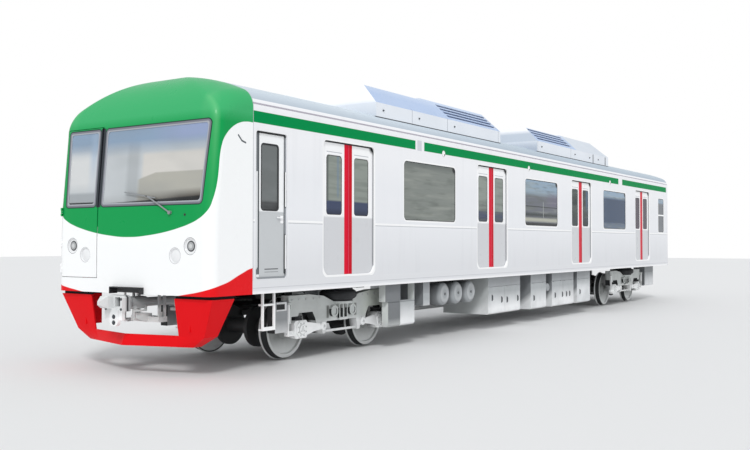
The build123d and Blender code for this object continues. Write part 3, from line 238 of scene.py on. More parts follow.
class Paint:
    """One material, built from short calls on places along, across and up. Ahead is how much a face
    looks forward, from minus one to one."""

    def __init__(self, name, color, roughness=0.5, **sockets):
        self.material = bpy.data.materials.new(name)
        self.material.use_nodes = True
        self.nodes = self.material.node_tree.nodes
        self.inputs = self.nodes["Principled BSDF"].inputs
        self.color = tone(color)
        self.roughness = roughness
        put(self.inputs["Base Color"], self.color)
        put(self.inputs["Roughness"], roughness)
        for socket, value in sockets.items():
            put(self.inputs[socket.replace("_", " ")], value)
        texture = self.nodes.new("ShaderNodeTexCoord").outputs
        shifted = self.nodes.new("ShaderNodeVectorMath")
        put(shifted.inputs[0], Value(texture["Object"]))
        put(shifted.inputs[1], (-FIRST_DOOR, 0, -FLANGE))
        self.place = Value(shifted.outputs["Vector"])
        self.along, self.y, self.z = self.split(self.place)
        self.across = abs(self.y)
        self.ahead = self.split(Value(texture["Normal"]))[0]

    def split(self, vector):
        made = self.nodes.new("ShaderNodeSeparateXYZ")
        put(made.inputs["Vector"], vector)
        return [Value(made.outputs[axis]) for axis in "XYZ"]

    def lay(self, color, mask):
        """Lays a colour over what is there, where the mask is one."""
        made = self.nodes.new("ShaderNodeMix")
        made.data_type = "RGBA"
        put(made.inputs["Factor"], mask)
        put(made.inputs[6], self.color)
        put(made.inputs[7], tone(color))
        self.color = Value(made.outputs[2])
        put(self.inputs["Base Color"], self.color)

    def noise(self, scale, detail=3, stretch=(1, 1, 1)):
        """Soft random values, stretched along the axes."""
        mapping = self.nodes.new("ShaderNodeMapping")
        put(mapping.inputs["Vector"], self.place)
        put(mapping.inputs["Scale"], stretch)
        made = self.nodes.new("ShaderNodeTexNoise")
        put(made.inputs["Vector"], Value(mapping.outputs["Vector"]))
        put(made.inputs["Scale"], scale)
        put(made.inputs["Detail"], detail)
        return Value(made.outputs["Fac"])

    def gloss(self, scale, low, high):
        """Roughness that wanders between two levels."""
        put(self.inputs["Roughness"], self.noise(scale).ramp(0.3, 0.7, high, low))

    def bump(self, scale, detail, strength, distance, stretch=(1, 1, 1)):
        """A fine relief from random values."""
        made = self.nodes.new("ShaderNodeBump")
        put(made.inputs["Strength"], strength)
        put(made.inputs["Distance"], distance)
        put(made.inputs["Height"], self.noise(scale, detail, stretch))
        put(self.inputs["Normal"], Value(made.outputs["Normal"]))

    def vary(self, amount, scale, grime=0, grain=0.1):
        """Uneven tone and gloss all over, a fine grain, and dust that thickens towards the rail."""
        self.lay((110, 112, 112), self.noise(scale, 4).ramp(0.4, 0.8, amount))
        if grime:
            low = self.z.ramp(0.2, 1.6, 0, grime)
            self.lay((88, 86, 80), low * self.noise(4, 5).ramp(0.3, 0.7))
        self.gloss(scale * 3, self.roughness * 0.85, self.roughness * 1.15)
        self.bump(scale * 12, 4, grain, 0.004)

    def outside_pane(self, across, inner, outer, lean, foot, head, radius):
        """How far a place lies outside a rounded pane, negative inside it."""
        edge = across - outer - (self.z - foot) * lean
        sideways = (inner - across | edge) + radius
        upwards = (foot - self.z | self.z - head) + radius
        return outside_box(sideways, upwards, radius)

    def outside_opening(self, opening):
        """How far a place lies outside an opening of the side, negative inside it."""
        x0, x1, z0, z1, *radii = opening
        radius = sum(radii) / 2
        sideways = abs(self.along - (x0 + x1) / 2) - ((x1 - x0) / 2 - radius)
        upwards = abs(self.z - (z0 + z1) / 2) - ((z1 - z0) / 2 - radius)
        return outside_box(sideways, upwards, radius)

    def outside_screens(self):
        """How far a place on the front lies outside the nearer of its two panes."""
        return self.outside_pane(self.y, *MAIN_PANE) & self.outside_pane(-self.y, *DOOR_PANE)


materials = {}


def painter(name, color, roughness, **sockets):
    """Makes a material with the function below, which is given the parts of the paint that it names."""

    def make(coats):
        paint = Paint(name, color, roughness, **sockets)
        coats(**{part: getattr(paint, part) for part in signature(coats).parameters})
        materials[coats.__name__] = paint.material
        return coats

    return make


# Body shell: white sides, a green stripe with gaps, a dark gutter line, a grey roof.
STRIPE_FOOT, STRIPE_HEAD, STRIPE_REAR = 3.25, 3.402, -16.85
STRIPE_GAPS = [(-2.183, -1.895), (-12.66, -12.35)]
GAP_BOX = (-2.1, -1.955, 3.24, 3.415)
GUTTER_FOOT, GUTTER_HEAD, CANT_TOP = 3.492, 3.506, 3.56
BEAD_Z, SILL_Z, SILL_TOP = 1.975, 1.095, 1.05
SIDE_LAMPS = [(-2.86, 3.262), (-6.54, 3.262), (-11.68, 3.262)]
SEAM_HALF = 0.003
RING_WIDTH, RIM_WIDTH = 0.026, 0.03


def lay_wall(lay, z):
    """The side wall's white, which turns greyer towards the sole bar."""
    lay(MIDDLE_WHITE, z.ramp(3.05, 2.6))
    lay(LOWER_WHITE, z.ramp(2.1, 1.3, 1, 0.35))


@painter("shell_paint", WHITE, 0.36, Specular_IOR_Level=0.02)
def shell(lay, along, across, z, noise, gloss, bump, outside_opening):
    side = across.above(HALF - 0.2, 0.01)
    lay_wall(lay, z)
    lay(ROOF_GREY, z.above(CANT_TOP, 0.004))
    lay((184, 198, 209), z.above(CANT_TOP) * along.ramp(-1.5, -6.5, 0.8))
    lay((172, 182, 194), z.above(CANT_TOP) * z.ramp(3.72, 3.56, 0.6))
    stripe = z.band(STRIPE_FOOT, STRIPE_HEAD) * along.above(STRIPE_REAR)
    for low, high in STRIPE_GAPS:
        stripe = stripe * ~along.band(low, high)
    stripe = stripe * side
    lay(STRIPE_GREEN, stripe)
    lay((214, 216, 222), along.band(*GAP_BOX[:2]) * z.band(*GAP_BOX[2:]) * side)
    lay((176, 168, 180), z.band(GUTTER_FOOT, GUTTER_HEAD, 0.002) * side)
    # A painted highlight along the bead, and a painted shadow line just under it; the same soft line also
    # marks the sill.
    lay(BRIGHT, z.near([BEAD_Z], 0.016) * side)
    lay(SOFT_LINE, z.near([BEAD_Z - 0.022, SILL_Z], 0.005) * side)
    for opening in [*BIG_WINDOWS, SMALL_WINDOW, CAB_DOORWAY]:
        lay(BRIGHT, outside_opening(opening).below(RING_WIDTH, 0.004) * side)
    for lamp, height in SIDE_LAMPS:
        distance = hypot(along - lamp, z - height)
        lay((178, 178, 178), distance.below(0.058) * side)
        lay((254, 254, 252), distance.below(0.05) * side)
        # A painted shadow low in each lamp.
        spot = hypot(along - (lamp - 0.03), z - (height - 0.02))
        lay((96, 96, 96), spot.below(0.016) * side)
    lay(SOFT_LINE, along.near([-16.95, 2.17], SEAM_HALF))
    # Painted shade in the recess beside the cab doorway, darkest behind the handrails.
    recess = along.band(CAB_DOOR_BACK, 1.4815, 0.002) * z.band(1.26, 3.16) * side
    lay((146, 150, 154), recess)
    rails = z.band(2.16, 2.64, 0.01) | z.band(1.31, 1.8, 0.01)
    lay((52, 55, 58), recess * rails)
    lay((150, 152, 156), noise(6, 4, (1, 1, 0.08)).ramp(0.55, 0.85, 0.08) * ~stripe)
    gloss(3, 0.3, 0.42)
    bump(1.2, 2, 0.05, 0.01, (1, 1, 2))


# Mask: one smooth line parts the green from the white. It droops in the middle of the front, climbs
# steeply at the corner and bends back to the stripe. It is drawn in two slanting coordinates: the way
# round the corner plus the height, and the height less the way round.
GREEN_LINE = [
    (1.757, 1.757), (1.925, 1.595), (2.115, 1.435), (2.341, 1.255), (2.573, 1.087), (2.811, 0.933),
    (3.015, 0.815), (3.232, 0.718), (3.405, 0.675), (3.561, 0.669), (3.71, 0.72), (3.861, 0.797),
    (3.999, 0.891), (4.147, 1.019), (4.289, 1.155), (4.388, 1.24), (4.5, 1.316), (4.598, 1.362),
    (4.72, 1.386), (4.834, 1.39), (4.972, 1.369), (5.115, 1.315), (5.241, 1.232), (5.37, 1.11),
]
# The red line is a way round the corner and a height.
RED_LINE = [
    (0.0, 0.995), (0.8, 1.003), (0.95, 1.022), (1.08, 1.042), (1.21, 1.062), (1.366, 1.092),
    (1.523, 1.125), (1.651, 1.155), (1.783, 1.189), (1.883, 1.228), (1.985, 1.271), (2.089, 1.31),
    (2.158, 1.337), (2.25, 1.358),
]
# The front's profile: how far ahead it is at the foot, the heights where it bends, and how far it
# leans back for each metre up between them and above. Places ahead of SIDE_END belong to the front.
FACE_X, BEND_Z, KNEE_Z, LOWER_LEAN, UPPER_LEAN = 2.95, 1.7, 2.15, 0.0333, 0.0872
SIDE_END = 2.7
# The grab bar's corners, along and up, and the washer nozzle's place, across and up.
GRAB = ((2.455, 3.05), (2.39, 2.985), (2.32, 2.966))
NOZZLE = (1.025, 2.035)


def round_the_corner(along, across, z):
    """The way from the middle of the front outwards and then back along the side."""
    lower = (z - BEND_Z | 0) * LOWER_LEAN
    upper = (z - KNEE_Z | 0) * (UPPER_LEAN - LOWER_LEAN)
    face = FACE_X - lower - upper
    return across + (face - along | 0)


@painter("mask_paint", MASK_WHITE, 0.3, Coat_Weight=0.06, Coat_Roughness=0.12, Specular_IOR_Level=0.1)
def mask(lay, along, across, y, z, ahead, gloss, bump, outside_screens):
    way = round_the_corner(along, across, z)
    line = (way + z).curve(GREEN_LINE, (1.7, 5.4), (0.6, 1.8))
    green = (z - way).above(line, 0.005)
    lay(GREEN, green)
    # Painted light on the green of the brow, which faces the sky.
    lay((62, 176, 110), green * z.ramp(3.2, 3.36))
    # A painted highlight in a soft band down the green of the front's corners.
    corner = ahead.band(0.55, 0.9, 0.15) * across.above(1.2, 0.05)
    lay((120, 205, 140), green * corner * z.ramp(2.4, 3.3, 0.4, 0.1))
    red_line = way.curve(RED_LINE, (0, 2.3), (0.9, 1.5))
    red = z.below(red_line, 0.004)
    lay(RED, red)
    outside = outside_screens()
    front = along.above(SIDE_END)
    lay((20, 62, 48), outside.band(-0.003, 0.009, 0.002) * front)
    lay((56, 60, 66), y.band(-0.672, -0.578, 0.004) * z.band(2.16, 3.238) * front)
    # A painted highlight in the emergency door's seam, low on the front.
    lay((244, 246, 246), y.band(-0.634, -0.616, 0.002) * z.band(1.72, 1.9) * front)
    side = along.below(SIDE_END)
    for start, end in zip(GRAB, GRAB[1:]):
        lay((104, 108, 112), from_bar(along, z, start, end).below(0.012, 0.002) * side)
    lay((226, 227, 229), along.band(2.16, 2.171, 0.001))
    lay(SOFT_LINE, along.below(2.178, 0.001))
    gloss(3, 0.26, 0.36)
    bump(0.9, 2, 0.03, 0.02)


@painter("screen_frame_paint", (120, 120, 130), 0.4)
def screen_frame(lay, bump, outside_screens):
    """The clamping frame: a dark outline, a grey band and a pale line next to the glass."""
    inward = -outside_screens()
    lay((66, 72, 76), inward.below(0.007, 0.002))
    lay((168, 172, 178), inward.above(0.03, 0.004))
    bump(40, 3, 0.08, 0.002)


@painter("screen_glass", (214, 219, 222), 0.06, Transmission_Weight=0.25, IOR=1.45)
def screen_glass(lay, y, z, noise):
    """Pale glass with painted reflections, bluer at its head, and a black border that is broadest at its
    foot.
    """
    # Painted reflections in the glass, pale over most of it and bluish towards the head.
    right = y.ramp(0.16, 0.22)
    lay((196, 201, 204), y.band(-0.1, 0.12, 0.04))
    lay((232, 229, 223), right * z.ramp(2.88, 2.82))
    edge = (y - 0.14) * 0.25 + 2.515 & 2.59
    lay((196, 194, 184), y.ramp(0.1, 0.16) * (z - edge).below(0, 0.008))
    lay((150, 176, 204), z.ramp(2.84, 3.04, 0.95))
    lay((168, 182, 220), z.ramp(2.94, 3.06) * y.ramp(0.3, 0.9, 0.8))
    door = y.below(-0.62)
    lay((234, 236, 236), door * z.ramp(2.95, 2.8) * z.ramp(2.36, 2.5))
    lay((176, 200, 226), y.band(-0.86, -0.72, 0.05) * z.ramp(2.4, 2.9, 0.6, 0.1))
    over = z - (y + 0.5) * 0.035
    lay((74, 66, 58), over.ramp(2.32, 2.21) * y.ramp(-0.1, 0.9, 0.95, 0.15) * ~door)
    lay((180, 186, 190), door * z.ramp(2.38, 2.34))
    lay(BLACK, over.below(2.207, 0.008) * ~door)
    lay(BLACK, door * z.below(2.232, 0.008))
    lay((150, 156, 158), noise(0.9, 2, (1, 1, 2.5)).ramp(0.45, 0.8, 0.35))


@painter("side_glass", (150, 156, 150), 0.05, IOR=1.45, Specular_IOR_Level=0.35)
def side_glass(lay, along, z, inputs, noise):
    """Grey-green glass whose faint level streaks, and its turn to bluer and darker towards the rear, are
    painted reflections.
    """
    rearward = along.ramp(-3.4, -6.4)
    far = along.ramp(-9, -11.5)
    lay((120, 124, 134), rearward * z.ramp(2.8, 2.66))
    lay((166, 192, 214), rearward * z.ramp(2.68, 2.8))
    lay((84, 104, 128), far * z.ramp(2.95, 2.6, 0.9, 0.3))
    lay((186, 190, 180), noise(1.6, 3, (0.6, 1, 9)).ramp(0.5, 0.72, 0.45))
    lay((104, 112, 104), noise(2.2, 2, (0.8, 1, 6)).ramp(0.5, 0.72, 0.55))
    lay((108, 116, 112), along.above(-3.6) * z.ramp(2.9, 3, 0.7))
    second = rearward * ~far
    lay((56, 64, 66), second * z.band(2.255, 2.33, 0.03))
    lay((60, 66, 66), second * z.near([2.47], 0.01))
    lay((128, 112, 150), second * along.ramp(-7.4, -7.9, 0.4) * z.band(2.48, 2.78, 0.05))
    lay((206, 206, 190), second * z.band(2.15, 2.225, 0.02))
    lay((190, 194, 190), along.near([-7.32], 0.012) * z.band(2.22, 2.58, 0.02))
    lay((20, 56, 92), far * z.band(2.2, 2.86, 0.04))
    put(inputs["Transmission Weight"], far.ramp(0, 1, 0.04, 0.3))
    lay((120, 122, 124), along.below(-15.5) * z.ramp(2.92, 2.86, 0.8))
    lay((38, 40, 42), second * z.ramp(2.14, 2.11))
    # A painted shadow in the upper rear corner of each big window.
    for opening in BIG_WINDOWS:
        corner = hypot(along - (opening[0] + 0.02), z - (opening[3] - 0.02))
        lay((30, 33, 35), corner.below(0.085, 0.02))


@painter("leaf_glass", (160, 168, 160), 0.05, IOR=1.45, Specular_IOR_Level=0.3)
def leaf_glass(lay, along, z, inputs, noise):
    """The saloon doors' glass: grey-green over a dark blue foot, with streaks of painted reflection."""
    streaks = noise(2, 3, (0.6, 1, 6))
    lay((124, 132, 126), streaks.ramp(0.45, 0.7, 0.7))
    lay((52, 66, 106), z.ramp(2.315, 2.29, 0.92))
    lay((34, 38, 54), z.ramp(2.2, 2.1, 0.7))
    rearward = along.ramp(-2.4, -4.4)
    lay((112, 118, 114), rearward * z.ramp(2.52, 2.44, 0.7) * streaks.ramp(0.35, 0.65))
    far = along.ramp(-8.5, -9)
    lay((4, 22, 20), far * noise(2.5, 3, (1, 1, 3)).ramp(0.35, 0.75, 0.7, 1))
    lay((60, 92, 122), far * along.band(-10.2, -10.03, 0.03) * z.ramp(2.4, 2.6, 0.8, 0.1))
    lay((70, 56, 72), along.ramp(-13, -13.5, 0.9))
    put(inputs["Transmission Weight"], far.ramp(0, 1, 0.03, 0.25))
    lay((92, 98, 96), along.band(0.49, 0.6, 0.03) * z.above(2.3))
    lay((126, 152, 178), along.band(0.225, 0.27, 0.02) * z.ramp(2.32, 2.4, 0.6))


@painter("cab_glass", (122, 127, 127), 0.06, Transmission_Weight=0.25, IOR=1.45)
def cab_glass(lay, z, noise):
    lay((26, 28, 30), z.ramp(2.25, 2.215, 0.95))
    lay((150, 153, 156), noise(1.5, 2, (1, 1, 3)).ramp(0.45, 0.75, 0.4))


# Door leaves: a crimson band over each pair's meeting edges, split by the rubber between them.
BAND_HALF, BAND_RUBBER = 0.1, 0.007


@painter("door_paint", (252, 252, 253), 0.32, Specular_IOR_Level=0.09)
def door(lay, along, across, z, gloss, bump):
    lay((214, 215, 218), z.ramp(2.085, 2.05))
    outer = across.above(LEAF_OUT - 0.004, 0.001)
    panes = [door + sign * (LEAF_PANE[0] + LEAF_PANE[1]) / 2 for door in DOORS for sign in (-1, 1)]
    # A painted shadow line just above each pane's ring.
    brow = along.near(panes, 0.19) * z.near([3.014], 0.007)
    lay((196, 198, 203), brow * outer)
    lay(CRIMSON, along.near(DOORS, BAND_HALF))
    rear_halves = [door - BAND_HALF / 2 - 0.012 for door in DOORS]
    lay(DARK_CRIMSON, along.near(rear_halves, BAND_HALF / 2 - 0.012))
    lay((228, 64, 88), along.near([door - 0.014 for door in DOORS], 0.01) * outer)
    # A painted shadow in the upper rear corner of each doorway.
    for door in DOORS:
        lay((44, 46, 48), hypot(along - (door - 0.65), z - 3.165).below(0.08, 0.03) * outer)
    # A painted shadow line along the head of the leaves.
    lay((46, 49, 52), z.above(DOOR_HEAD) * outer)
    lay((150, 6, 34), along.near(DOORS, BAND_RUBBER / 2) * outer)
    bump(2, 2, 0.05, 0.01)
    gloss(5, 0.26, 0.38)


@painter("cab_door_paint", (250, 251, 252), 0.36, Specular_IOR_Level=0.2)
def cab_door(lay, along, across, z, vary):
    """A white leaf that is grey below its window, with two kick lines, and painted shade in strips along its
    edges, darkest at their inner lines and white at the foot.
    """
    lay((202, 205, 207), z.below(2.098, 0.006))
    outer = across.above(CAB_LEAF_OUT - 0.004, 0.001)
    # Painted shade beside the doorway's edges.
    strips = (along.below(1.512, 0.002) | along.above(2.016, 0.002)) * outer
    lay((112, 117, 121), strips)
    lay((54, 58, 62), strips * along.near([1.507, 2.023], 0.008))
    lay((238, 240, 241), along.band(2.043, 2.072, 0.002) * z.band(1.36, 2.62))
    lay((250, 251, 252), strips * z.below(1.27))
    kick = along.band(1.628, 1.905)
    lay((92, 94, 98), kick * z.near([1.335], 0.007))
    lay((150, 152, 156), kick * z.near([1.297], 0.005))
    vary(0.05, 2)


def plain(name, color, roughness, amount=0.1, scale=3, grain=0.1, **sockets):
    """A paint, casting or plastic with uneven tone and a fine surface."""
    paint = Paint(name, color, roughness, **sockets)
    paint.vary(amount, scale, grain=grain)
    return paint.material


@painter("underframe_paint", (88, 91, 93), 0.6)
def under(lay, across, z, vary):
    """Dark grey below the floor, with painted shade that leaves it darker deeper under the car, and white on
    the sole bars' outer faces, which close the body's side.
    """
    # Painted shade: lighter towards the outside, darker deeper under the car.
    lay((140, 143, 144), across.ramp(1.2, 1.36))
    vary(0.1, 3, 0.2)
    outer = across.above(HALF - 0.006, 0.001) * z.above(1.0165, 0.0005)
    lay(LOWER_WHITE, outer)
    lay((252, 252, 253), outer * z.below(SILL_TOP, 0.02))
    lay((204, 205, 209), outer * z.near([SILL_Z], 0.005))


# Equipment cases. The first one's forward part is painted in shade. Faces that look ahead are painted
# in shade, with a painted wedge of light that the ground throws up at their outer foot.
DARK_PANEL = (-1.556, -1.1)
CASE_BAND, CASE_FACE = 0.826, 1.385
# The tanks' places along, and their height.
TANKS, TANK_Z = (-3.14, -3.645, -4.15), 0.77


@painter("case_paint", (164, 167, 170), 0.5, Specular_IOR_Level=0.15)
def case(lay, along, across, z, ahead, noise, vary):
    """Grey cases with painted light from the ground, which makes their doors much lighter towards their
    feet.
    """
    lay((176, 180, 182), z.ramp(CASE_BAND - 0.002, CASE_BAND - 0.006))
    # Painted light from the ground, lighter towards the foot.
    lay((248, 249, 250), z.ramp(0.72, 0.4, 1))
    lay((236, 238, 240), along.below(-9.4) * z.ramp(0.8, 0.56))
    # Painted shade on the faces that look ahead and on the first case's forward part.
    panel = along.band(*DARK_PANEL)
    fronts = ahead.above(0.5, 0.1)
    shaded = fronts | panel
    lay((128, 131, 134), shaded)
    behind = shaded * ~panel
    lay((196, 200, 200), behind * along.below(-4))
    lay((134, 137, 140), behind * along.below(-6.5))
    lay((222, 226, 224), fronts * along.above(-2))
    wedge = 0.62 - (z + (CASE_FACE - across) * 0.8)
    lay((232, 234, 235), behind * wedge.ramp(-0.04, 0.12))
    lay((206, 208, 208), panel * z.ramp(0.46, 0.34, 0.8))
    lay((196, 200, 202), ~shaded * noise(1, 3, (1, 1, 0.3)).ramp(0.45, 0.75, 0.35))
    vary(0.1, 4, 0.1)


@painter("tank_paint", (168, 172, 175), 0.45, Specular_IOR_Level=0.3)
def tank(lay, along, across, z, vary):
    """Pale tank ends with rings, a dark plug and dark bands, and painted shade that darkens the tanks
    towards the car's middle.
    """
    # Painted shade, darker deeper under the car.
    lay((108, 110, 112), across.ramp(1.3, 1.1))
    for tank in TANKS:
        distance = hypot(along - tank, z - TANK_Z)
        end = distance.below(0.215) * across.above(1.25)
        lay((186, 189, 191), end * distance.band(0.085, 0.15, 0.02))
        lay((150, 153, 155), end * distance.band(0.16, 0.168, 0.004))
        lay((110, 112, 114), end * distance.below(0.026))
    vary(0.12, 5, 0.1)


@painter("bogie_paint", (212, 216, 214), 0.5, Specular_IOR_Level=0.3)
def bogie(lay, along, across, z, ahead, vary):
    """Grey outer plates, painted light on the low parts and the rear of the front bogie, and painted shade
    in the depths, the middle hollows and the faces that look along the car; the case at the front end is
    darker.
    """
    # Painted light on the rear part of the front bogie's frame.
    behind = along.ramp(-0.8, -1.15) * along.above(-2.5)
    lay((226, 232, 222), behind)
    # Painted light on the low parts.
    lay((250, 251, 251), z.ramp(0.56, 0.46))
    # Painted shade in the depths towards the car's middle.
    lay((54, 56, 58), across.ramp(0.99, 0.9))
    # Painted shade in the hollow at the middle of each side frame, except on its ribs and ring.
    for middle in BOGIES.values():
        from_middle = abs(along - middle)
        hollow = from_middle.ramp(0.42, 0.36) * z.band(0.545, 0.735, 0.01)
        rib = from_middle.near([0, 0.1], 0.018)
        ring = abs(from_middle - 0.24).below(0.1, 0.004)
        lay((96, 98, 94), hollow * ~rib * ~ring)
    case = along.band(1.045, 1.345) * z.band(0.41, 0.86) * across.above(0.98)
    lay((164, 167, 170), case)
    lay((238, 239, 240), case * z.ramp(0.6, 0.42, 0.8))
    lay((240, 241, 242), case * along.band(1.065, 1.285) * z.band(0.725, 0.848))
    lay((30, 32, 34), case * along.band(1.105, 1.285) * z.band(0.745, 0.822))
    lay((40, 42, 44), case * along.above(1.318, 0.003))
    # Painted shade on faces that look along the car, at the height of the hollows.
    lay((44, 46, 48), abs(ahead).above(0.5) * z.band(0.53, 0.68) * ~case)
    vary(0.12, 4, 0.16, grain=0.2)


def axle_distance(along, z):
    """Distance from the nearest of the four axles, seen from the side."""
    from_middle = abs(along - BOGIES["front"]) & abs(along - BOGIES["rear"])
    return hypot(from_middle - HALF_BASE, z - WHEEL_R)


@painter("wheel_steel", (176, 178, 177), 0.5, Metallic=0.15, Specular_IOR_Level=0.3)
def wheel(lay, along, across, y, z, noise, bump):
    """A pale web and rim, a dark tread and a bright flange edge, with a painted highlight low on the web and
    painted light on the right-hand wheels; the axle and discs are dark.
    """
    distance = axle_distance(along, z)
    lay((132, 134, 133), noise(5, 4).ramp(0.4, 0.7, 0.6))
    # A painted highlight low on the web.
    lay((228, 230, 229), z.ramp(0.3, 0.06) * distance.above(0.16))
    lay((214, 216, 215), distance.ramp(0.36, 0.41))
    lay((58, 60, 61), distance.above(0.4265, 0.001) * distance.below(0.444, 0.001))
    lay((224, 226, 225), distance.above(0.447, 0.001))
    lay((66, 68, 69), across.below(0.6, 0.02))
    # Painted light on the wheels of the right-hand side.
    lay((238, 240, 240), y.band(-0.8, -0.6) * distance.band(0.16, 0.42))
    bump(30, 4, 0.12, 0.004)


@painter("axle_box_paint", CAST_WHITE, 0.45, Specular_IOR_Level=0.3)
def axle_box(lay, along, across, z, vary):
    """Pale castings whose caps carry a ring, with painted shade towards the car's middle."""
    distance = axle_distance(along, z)
    outer = across.above(1.12, 0.002)
    lay((214, 216, 216), distance.band(0.066, 0.076, 0.003) * outer)
    lay((226, 228, 228), distance.below(0.034) * outer)
    # Painted shade, darker deeper under the car.
    lay((96, 98, 99), across.ramp(1.06, 0.98, 0.7))
    vary(0.08, 5, 0.05, grain=0.2)


# Roof units: seams across the skirts, and the skirts' head and foot.
UNIT_SEAMS = [-1.03, -2.16, -3.405, -5.53, -7.54, -9.52]
SKIRT_TOP, SKIRT_FOOT = 3.96, 3.717


@painter("roof_unit_paint", UNIT_BLUE, 0.36, Specular_IOR_Level=0.2)
def roof_unit(lay, along, z, ahead, noise, gloss, bump):
    """Pale blue sloping sides over a white skirt, with joints across and a dark gasket at the foot. Faces
    that look ahead carry painted light, near white up high, greyer low down and darker on the rear unit.
    """
    lay((204, 218, 240), z.ramp(4.16, 4.34, 0.9))
    lay((214, 221, 230), along.below(-9.9, 0.01))
    # Painted light on the faces that look ahead.
    front = ahead.above(0.2, 0.02)
    lay((252, 252, 253), front * z.ramp(3.8, 4.02))
    rear_unit = front * along.below(-7)
    lay((196, 205, 216), rear_unit * z.ramp(4.24, 4.14))
    lay(UNIT_WHITE, z.below(SKIRT_TOP))
    lay((214, 220, 228), front * z.ramp(3.98, 3.74))
    lay((192, 200, 212), rear_unit * z.ramp(3.98, 3.8))
    lay((120, 126, 136), along.near(UNIT_SEAMS, 0.005) * z.below(3.99))
    lay((66, 68, 74), z.below(SKIRT_FOOT + 0.016, 0.002))
    lay((150, 160, 178), noise(1.4, 3).ramp(0.45, 0.8, 0.12))
    gloss(3, 0.3, 0.42)
    bump(2, 2, 0.05, 0.01)


# Lamps of the front: middle across and up.
HEADLAMP, MARKER = (1.131, 1.64), (0.865, 1.52)


@painter("lamp_glass", (238, 239, 240), 0.18, Coat_Weight=0.4)
def lamp(lay, across, z, bump):
    """White lamp bodies; the headlamps have a grey lens in a dark ring."""
    head = hypot(across - HEADLAMP[0], z - HEADLAMP[1])
    marker = hypot(across - MARKER[0], z - MARKER[1])
    lay((84, 86, 88), head.band(0.105, 0.112, 0.002))
    lay((70, 72, 74), head.band(0.05, 0.07, 0.002))
    lay((168, 171, 172), head.below(0.05, 0.002))
    lay((206, 208, 208), head.below(0.028, 0.004))
    lay((150, 152, 154), marker.band(0.101, 0.107, 0.002))
    lay((214, 216, 218), marker.band(0.076, 0.082, 0.003))
    bump(60, 2, 0.1, 0.002, (1, 1, 3))


@painter("deflector_paint", RED, 0.36, Specular_IOR_Level=0.07)
def deflector(lay, z, noise, bump):
    """Red plates under a black flange."""
    lay((212, 12, 20), noise(1.2, 2).ramp(0.4, 0.8, 0.25))
    lay(BLACK, z.above(0.976, 0.002))
    bump(6, 3, 0.05, 0.006)


@painter("frame_trim", WHITE, 0.38, Specular_IOR_Level=0.2)
def trim(lay, across, z, vary, outside_opening):
    """White rims round the doorways, in the wall's own tones further out, with a grey seal inside."""
    lay_wall(lay, z)
    for opening in DOORWAYS:
        lay(BRIGHT, outside_opening(opening).band(-0.05, RIM_WIDTH, 0.004))
    lay((130, 132, 136), across.below(FRAME_BACK + 0.006, 0.001))
    vary(0.05, 3)


@painter("coupler_paint", (172, 175, 176), 0.45, Specular_IOR_Level=0.2)
def coupler(lay, along, z, vary):
    """A pale foot plate and cone before a body that painted shade makes greyer, and painted light on the low
    parts.
    """
    lay((226, 228, 228), along.ramp(3.11, 3.15))
    lay((62, 65, 67), along.band(3.085, 3.115, 0.004) * z.above(0.8))
    # Painted light on the low parts.
    lay((252, 252, 252), z.ramp(0.8, 0.72) * along.above(3))
    lay((232, 235, 234), z.ramp(0.86, 0.8) * along.below(3, 0.05))
    vary(0.14, 6, grain=0.3)


@painter("door_seal", (150, 153, 157), 0.7)
def door_seal(lay, along, z, bump):
    """Seals round the saloon doors: grey at the sides, with painted shadow along the head and in each
    doorway's upper rear corner, and painted light at the foot.
    """
    # Painted shadow along the head.
    lay((40, 42, 44), z.above(DOOR_HEAD))
    # Painted shadow in the upper rear corner of each doorway.
    for door in DOORS:
        lay((52, 55, 56), hypot(along - (door - 0.66), z - 3.17).below(0.11, 0.02))
    # Painted light at the foot.
    lay((246, 247, 248), z.below(1.33, 0.02))
    bump(30, 3, 0.2, 0.002)


@painter("cab_seal", (146, 150, 154), 0.7)
def cab_seal(lay, z, bump):
    """The seal round a cab door: painted shadow, black along the head and dark beside the rails, grey
    between them.
    """
    # Painted shadow beside the handrails, and along the head.
    rails = z.band(2.16, 2.64, 0.01) | z.band(1.26, 1.8, 0.01)
    lay((58, 61, 64), rails)
    lay(BLACK, z.above(3.11))
    bump(30, 3, 0.2, 0.002)


materials.update({
    "white_trim": plain("white_trim", (253, 253, 254), 0.36, 0.03, Specular_IOR_Level=0.2),
    "interior": plain("interior_panel", (206, 206, 200), 0.55, 0.06),
    "bench": plain("bench_plastic", (70, 140, 116), 0.4),
    "seat": plain("seat_cloth", (62, 68, 82), 0.85, scale=20, grain=0.5, Sheen_Weight=0.3),
    "steel": plain("brushed_steel", STEEL, 0.3, Metallic=0.8),
    "black": plain("black_trim", (34, 35, 38), 0.5),
    "rubber": plain("seal_rubber", (40, 41, 44), 0.7, grain=0.25),
    "wiper": plain("wiper_metal", (150, 153, 156), 0.4, Metallic=0.3),
    "dark_metal": plain("dark_metal", (86, 90, 94), 0.35, Metallic=0.6),
    "bellows": plain("bellows_rubber", (44, 45, 48), 0.75, 0.2, 4, grain=0.4),
    "gutter": plain("gutter_paint", (178, 172, 184), 0.4, 0.05),
    "bolt": plain("bolt_paint", (206, 208, 208), 0.4, 0.1),
    "louvre": plain("louvre_paint", NAVY, 0.55, 0.12, Specular_IOR_Level=0.15),
    "step": plain("step_paint", (255, 255, 255), 0.4, 0.02),
    "handrail": plain("handrail_paint", (238, 239, 240), 0.35, 0.05),
    "screen": plain("blank_screen", (40, 52, 60), 0.12, 0.05),
})

